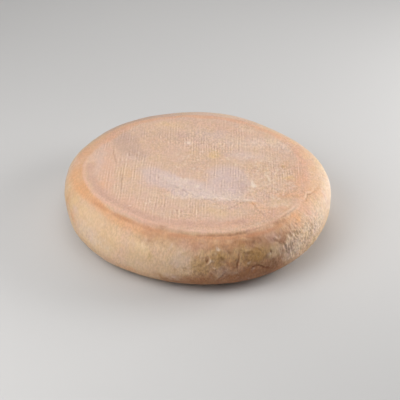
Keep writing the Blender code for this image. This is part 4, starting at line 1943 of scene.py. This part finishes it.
@dataclass
class CheeseWheel:
    """The whole wheel, dressed: one mesh that stands for the solid."""

    form: WheelForm = field(default_factory=WheelForm)
    cloth: ClothPrint = field(default_factory=ClothPrint)
    bead: LipBead = field(default_factory=LipBead)
    skin: RindSkin = field(default_factory=RindSkin)
    crumbs: Crumbs = field(default_factory=Crumbs)
    marks: RindMarks = field(default_factory=RindMarks)
    patches: RindPatches = field(default_factory=RindPatches)
    finish: RindFinish = RindFinish()
    foot_share: float = 0.6
    top_edge: Pair = (72.5 * MM, 76.5 * MM)
    # how deep a hollow is when its painted shade is full
    full_hollow: float = 0.35 * MM
    most_triangles: int = 200_000

    def fitted(self, places: np.ndarray) -> np.ndarray:
        """Scales and moves the wheel a very little, so that its box is the solid's.

        Args:
            places: the worked points.

        Returns:
            The points in the frame of the solid.
        """
        low, high = places.min(axis=0), places.max(axis=0)
        solid_low, solid_high = (np.array(corner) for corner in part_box(NODE))
        scale = (solid_high - solid_low) / (high - low)
        LOG.info("the wheel is fitted to its solid by %s", np.round(scale, 4).tolist())
        return (places - low) * scale + solid_low

    def build(self) -> bpy.types.Object:
        """Makes the wheel's mesh with the weights that its finish reads.

        Returns:
            The wheel's object, not yet dressed.
        """
        turned, faces = self.form.grid()
        points = self.form.settled(turned)
        threads = self.cloth.threads(points)
        weave = self.cloth.relief(threads)
        marked, stain, crest = self.marks.relief(points)
        skin = self.skin.relief(points, self.form)
        crumbs, crumb_cover = self.crumbs.relief(points)
        relief = weave + marked + skin + crumbs + self.bead.relief(points, self.form)
        foot = points.is_foot
        relief[foot] = self.foot_share * (np.minimum(weave[foot], 0.0) + np.minimum(skin[foot], 0.0))
        places = points.places + points.normals * relief[:, None]
        places[:, 2] = np.maximum(places[:, 2], 0.0)
        mesh = bpy.data.meshes.new(PIECE)
        mesh.from_pydata(self.fitted(places).tolist(), [], faces)
        mesh.shade_smooth()
        values = {
            "top": 1.0 - smooth_step(*self.top_edge, points.radius),
            # the skin's hollows, for their painted shade
            "hollow": np.clip(-skin / self.full_hollow, 0.0, 1.0),
            "stain": stain,
            # the pale of rolls, ridges and crumbs, partly a painted highlight
            "crest": np.maximum(crest, crumb_cover),
            "rough": self.skin.roughness(points),
            **threads,
            **self.bead.colouring(points, self.form),
        }
        for tone, weight in self.patches.weights(points).items():
            values[tone.value] = weight
        for name, numbers in values.items():
            layer = mesh.attributes.new(name, "FLOAT", "POINT")
            layer.data.foreach_set("value", numbers.astype(np.float32))
        triangles = sum(len(face) - 2 for face in faces)
        assert triangles < self.most_triangles, triangles
        wheel = bpy.data.objects.new(PIECE, mesh)
        bpy.context.scene.collection.objects.link(wheel)
        LOG.info("%s: %d points, %d triangles", PIECE, len(places), triangles)
        return wheel

    def dress(self, wheel: bpy.types.Object) -> None:
        """Gives the wheel its finish and its place in the frame.

        Args:
            wheel: the wheel's object.
        """
        wheel.data.materials.append(self.finish.material())
        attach(wheel, "root")
        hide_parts(NODE)


@dataclass(frozen=True)
class SoftBox:
    """A large soft studio light."""

    name: str
    azimuth: float
    elevation: float
    size: float
    power: float
    colour: Triple = (1.0, 1.0, 1.0)

    def direction(self) -> Vector:
        """The way from what is lit to the light.

        Returns:
            A vector one metre long.
        """
        level = math.cos(self.elevation)
        return Vector(
            (level * math.cos(self.azimuth), level * math.sin(self.azimuth), math.sin(self.elevation))
        )


@dataclass
class Studio:
    """The plain floor, the soft lights and the camera."""

    floor_half: float = 3.0
    floor_colour: Shade = (0.62, 0.61, 0.6, 1.0)
    floor_roughness: float = 0.9
    floor_specular: float = 0.2
    sky_colour: Shade = (1.0, 1.0, 1.0, 1.0)
    sky_strength: float = 0.01
    aim: Triple = (0.0, 0.0, 0.018)
    light_distance: float = 0.6
    boxes: tuple[SoftBox, ...] = (
        SoftBox("left_box", math.radians(-148.0), math.radians(42.0), 0.4, 2.05),
        SoftBox("right_box", math.radians(16.0), math.radians(18.0), 0.35, 3.3),
        SoftBox("rear_box", math.radians(95.0), math.radians(45.0), 0.5, 0.95),
        SoftBox("top_box", math.radians(-120.0), math.radians(80.0), 0.5, 0.88),
        SoftBox("front_box", math.radians(-120.0), math.radians(30.0), 0.4, 0.6),
    )
    target: Triple = (1.55 * MM, 0.0, 11.7 * MM)
    distance: float = 0.8
    elevation: float = math.radians(33.5)
    roll: float = math.radians(3.05)
    focal: float = 105.6
    sensor: float = 36.0
    nearest: float = 0.01

    def lay_floor(self) -> None:
        """Lays the pale floor, wide enough for the usual views."""
        half = self.floor_half
        corners = [(-half, -half, 0.0), (half, -half, 0.0), (half, half, 0.0), (-half, half, 0.0)]
        mesh = bpy.data.meshes.new("studio_floor")
        mesh.from_pydata(corners, [], [(0, 1, 2, 3)])
        floor = bpy.data.objects.new("studio_floor", mesh)
        bpy.context.scene.collection.objects.link(floor)
        material = bpy.data.materials.new("studio_floor")
        material.use_nodes = True
        shader = material.node_tree.nodes["Principled BSDF"]
        shader.inputs["Base Color"].default_value = self.floor_colour
        shader.inputs["Roughness"].default_value = self.floor_roughness
        shader.inputs["Specular IOR Level"].default_value = self.floor_specular
        mesh.materials.append(material)

    def hang_lights(self) -> None:
        """Hangs the soft boxes, each turned to the wheel, and sets the even light of the room."""
        for box in self.boxes:
            lamp = bpy.data.lights.new(box.name, "AREA")
            lamp.shape = "SQUARE"
            lamp.size = box.size
            lamp.energy = box.power
            lamp.color = box.colour
            light = bpy.data.objects.new(box.name, lamp)
            light.location = Vector(self.aim) + self.light_distance * box.direction()
            light.rotation_euler = box.direction().to_track_quat("Z", "Y").to_euler()
            bpy.context.scene.collection.objects.link(light)
        world = bpy.data.worlds.new("studio")
        world.use_nodes = True
        background = world.node_tree.nodes["Background"]
        background.inputs["Color"].default_value = self.sky_colour
        background.inputs["Strength"].default_value = self.sky_strength
        bpy.context.scene.world = world
        bpy.context.scene.view_settings.view_transform = "Standard"

    def place_camera(self) -> None:
        """Puts the camera where the view of the wheel was taken from."""
        forward = Vector((0.0, math.cos(self.elevation), -math.sin(self.elevation)))
        level_up = Vector((0.0, math.sin(self.elevation), math.cos(self.elevation)))
        level_right = Vector((1.0, 0.0, 0.0))
        right = level_right * math.cos(self.roll) + level_up * math.sin(self.roll)
        up = level_up * math.cos(self.roll) - level_right * math.sin(self.roll)
        lens = bpy.data.cameras.new("camera")
        lens.sensor_width = self.sensor
        lens.lens = self.focal
        lens.clip_start = self.nearest
        camera = bpy.data.objects.new("camera", lens)
        turned = Matrix((right, up, -forward)).transposed().to_4x4()
        camera.matrix_world = Matrix.Translation(Vector(self.target) - forward * self.distance) @ turned
        bpy.context.scene.collection.objects.link(camera)
        bpy.context.scene.camera = camera


def main() -> None:
    """Builds the studio and the wheel."""
    logging.basicConfig(level=logging.INFO, format="%(message)s")
    studio = Studio()
    studio.lay_floor()
    studio.hang_lights()
    studio.place_camera()
    cheese = CheeseWheel()
    wheel = cheese.build()
    cheese.dress(wheel)
    LOG.info("%s stands for %s", wheel.name, NODE)


if __name__ == "__main__":
    main()
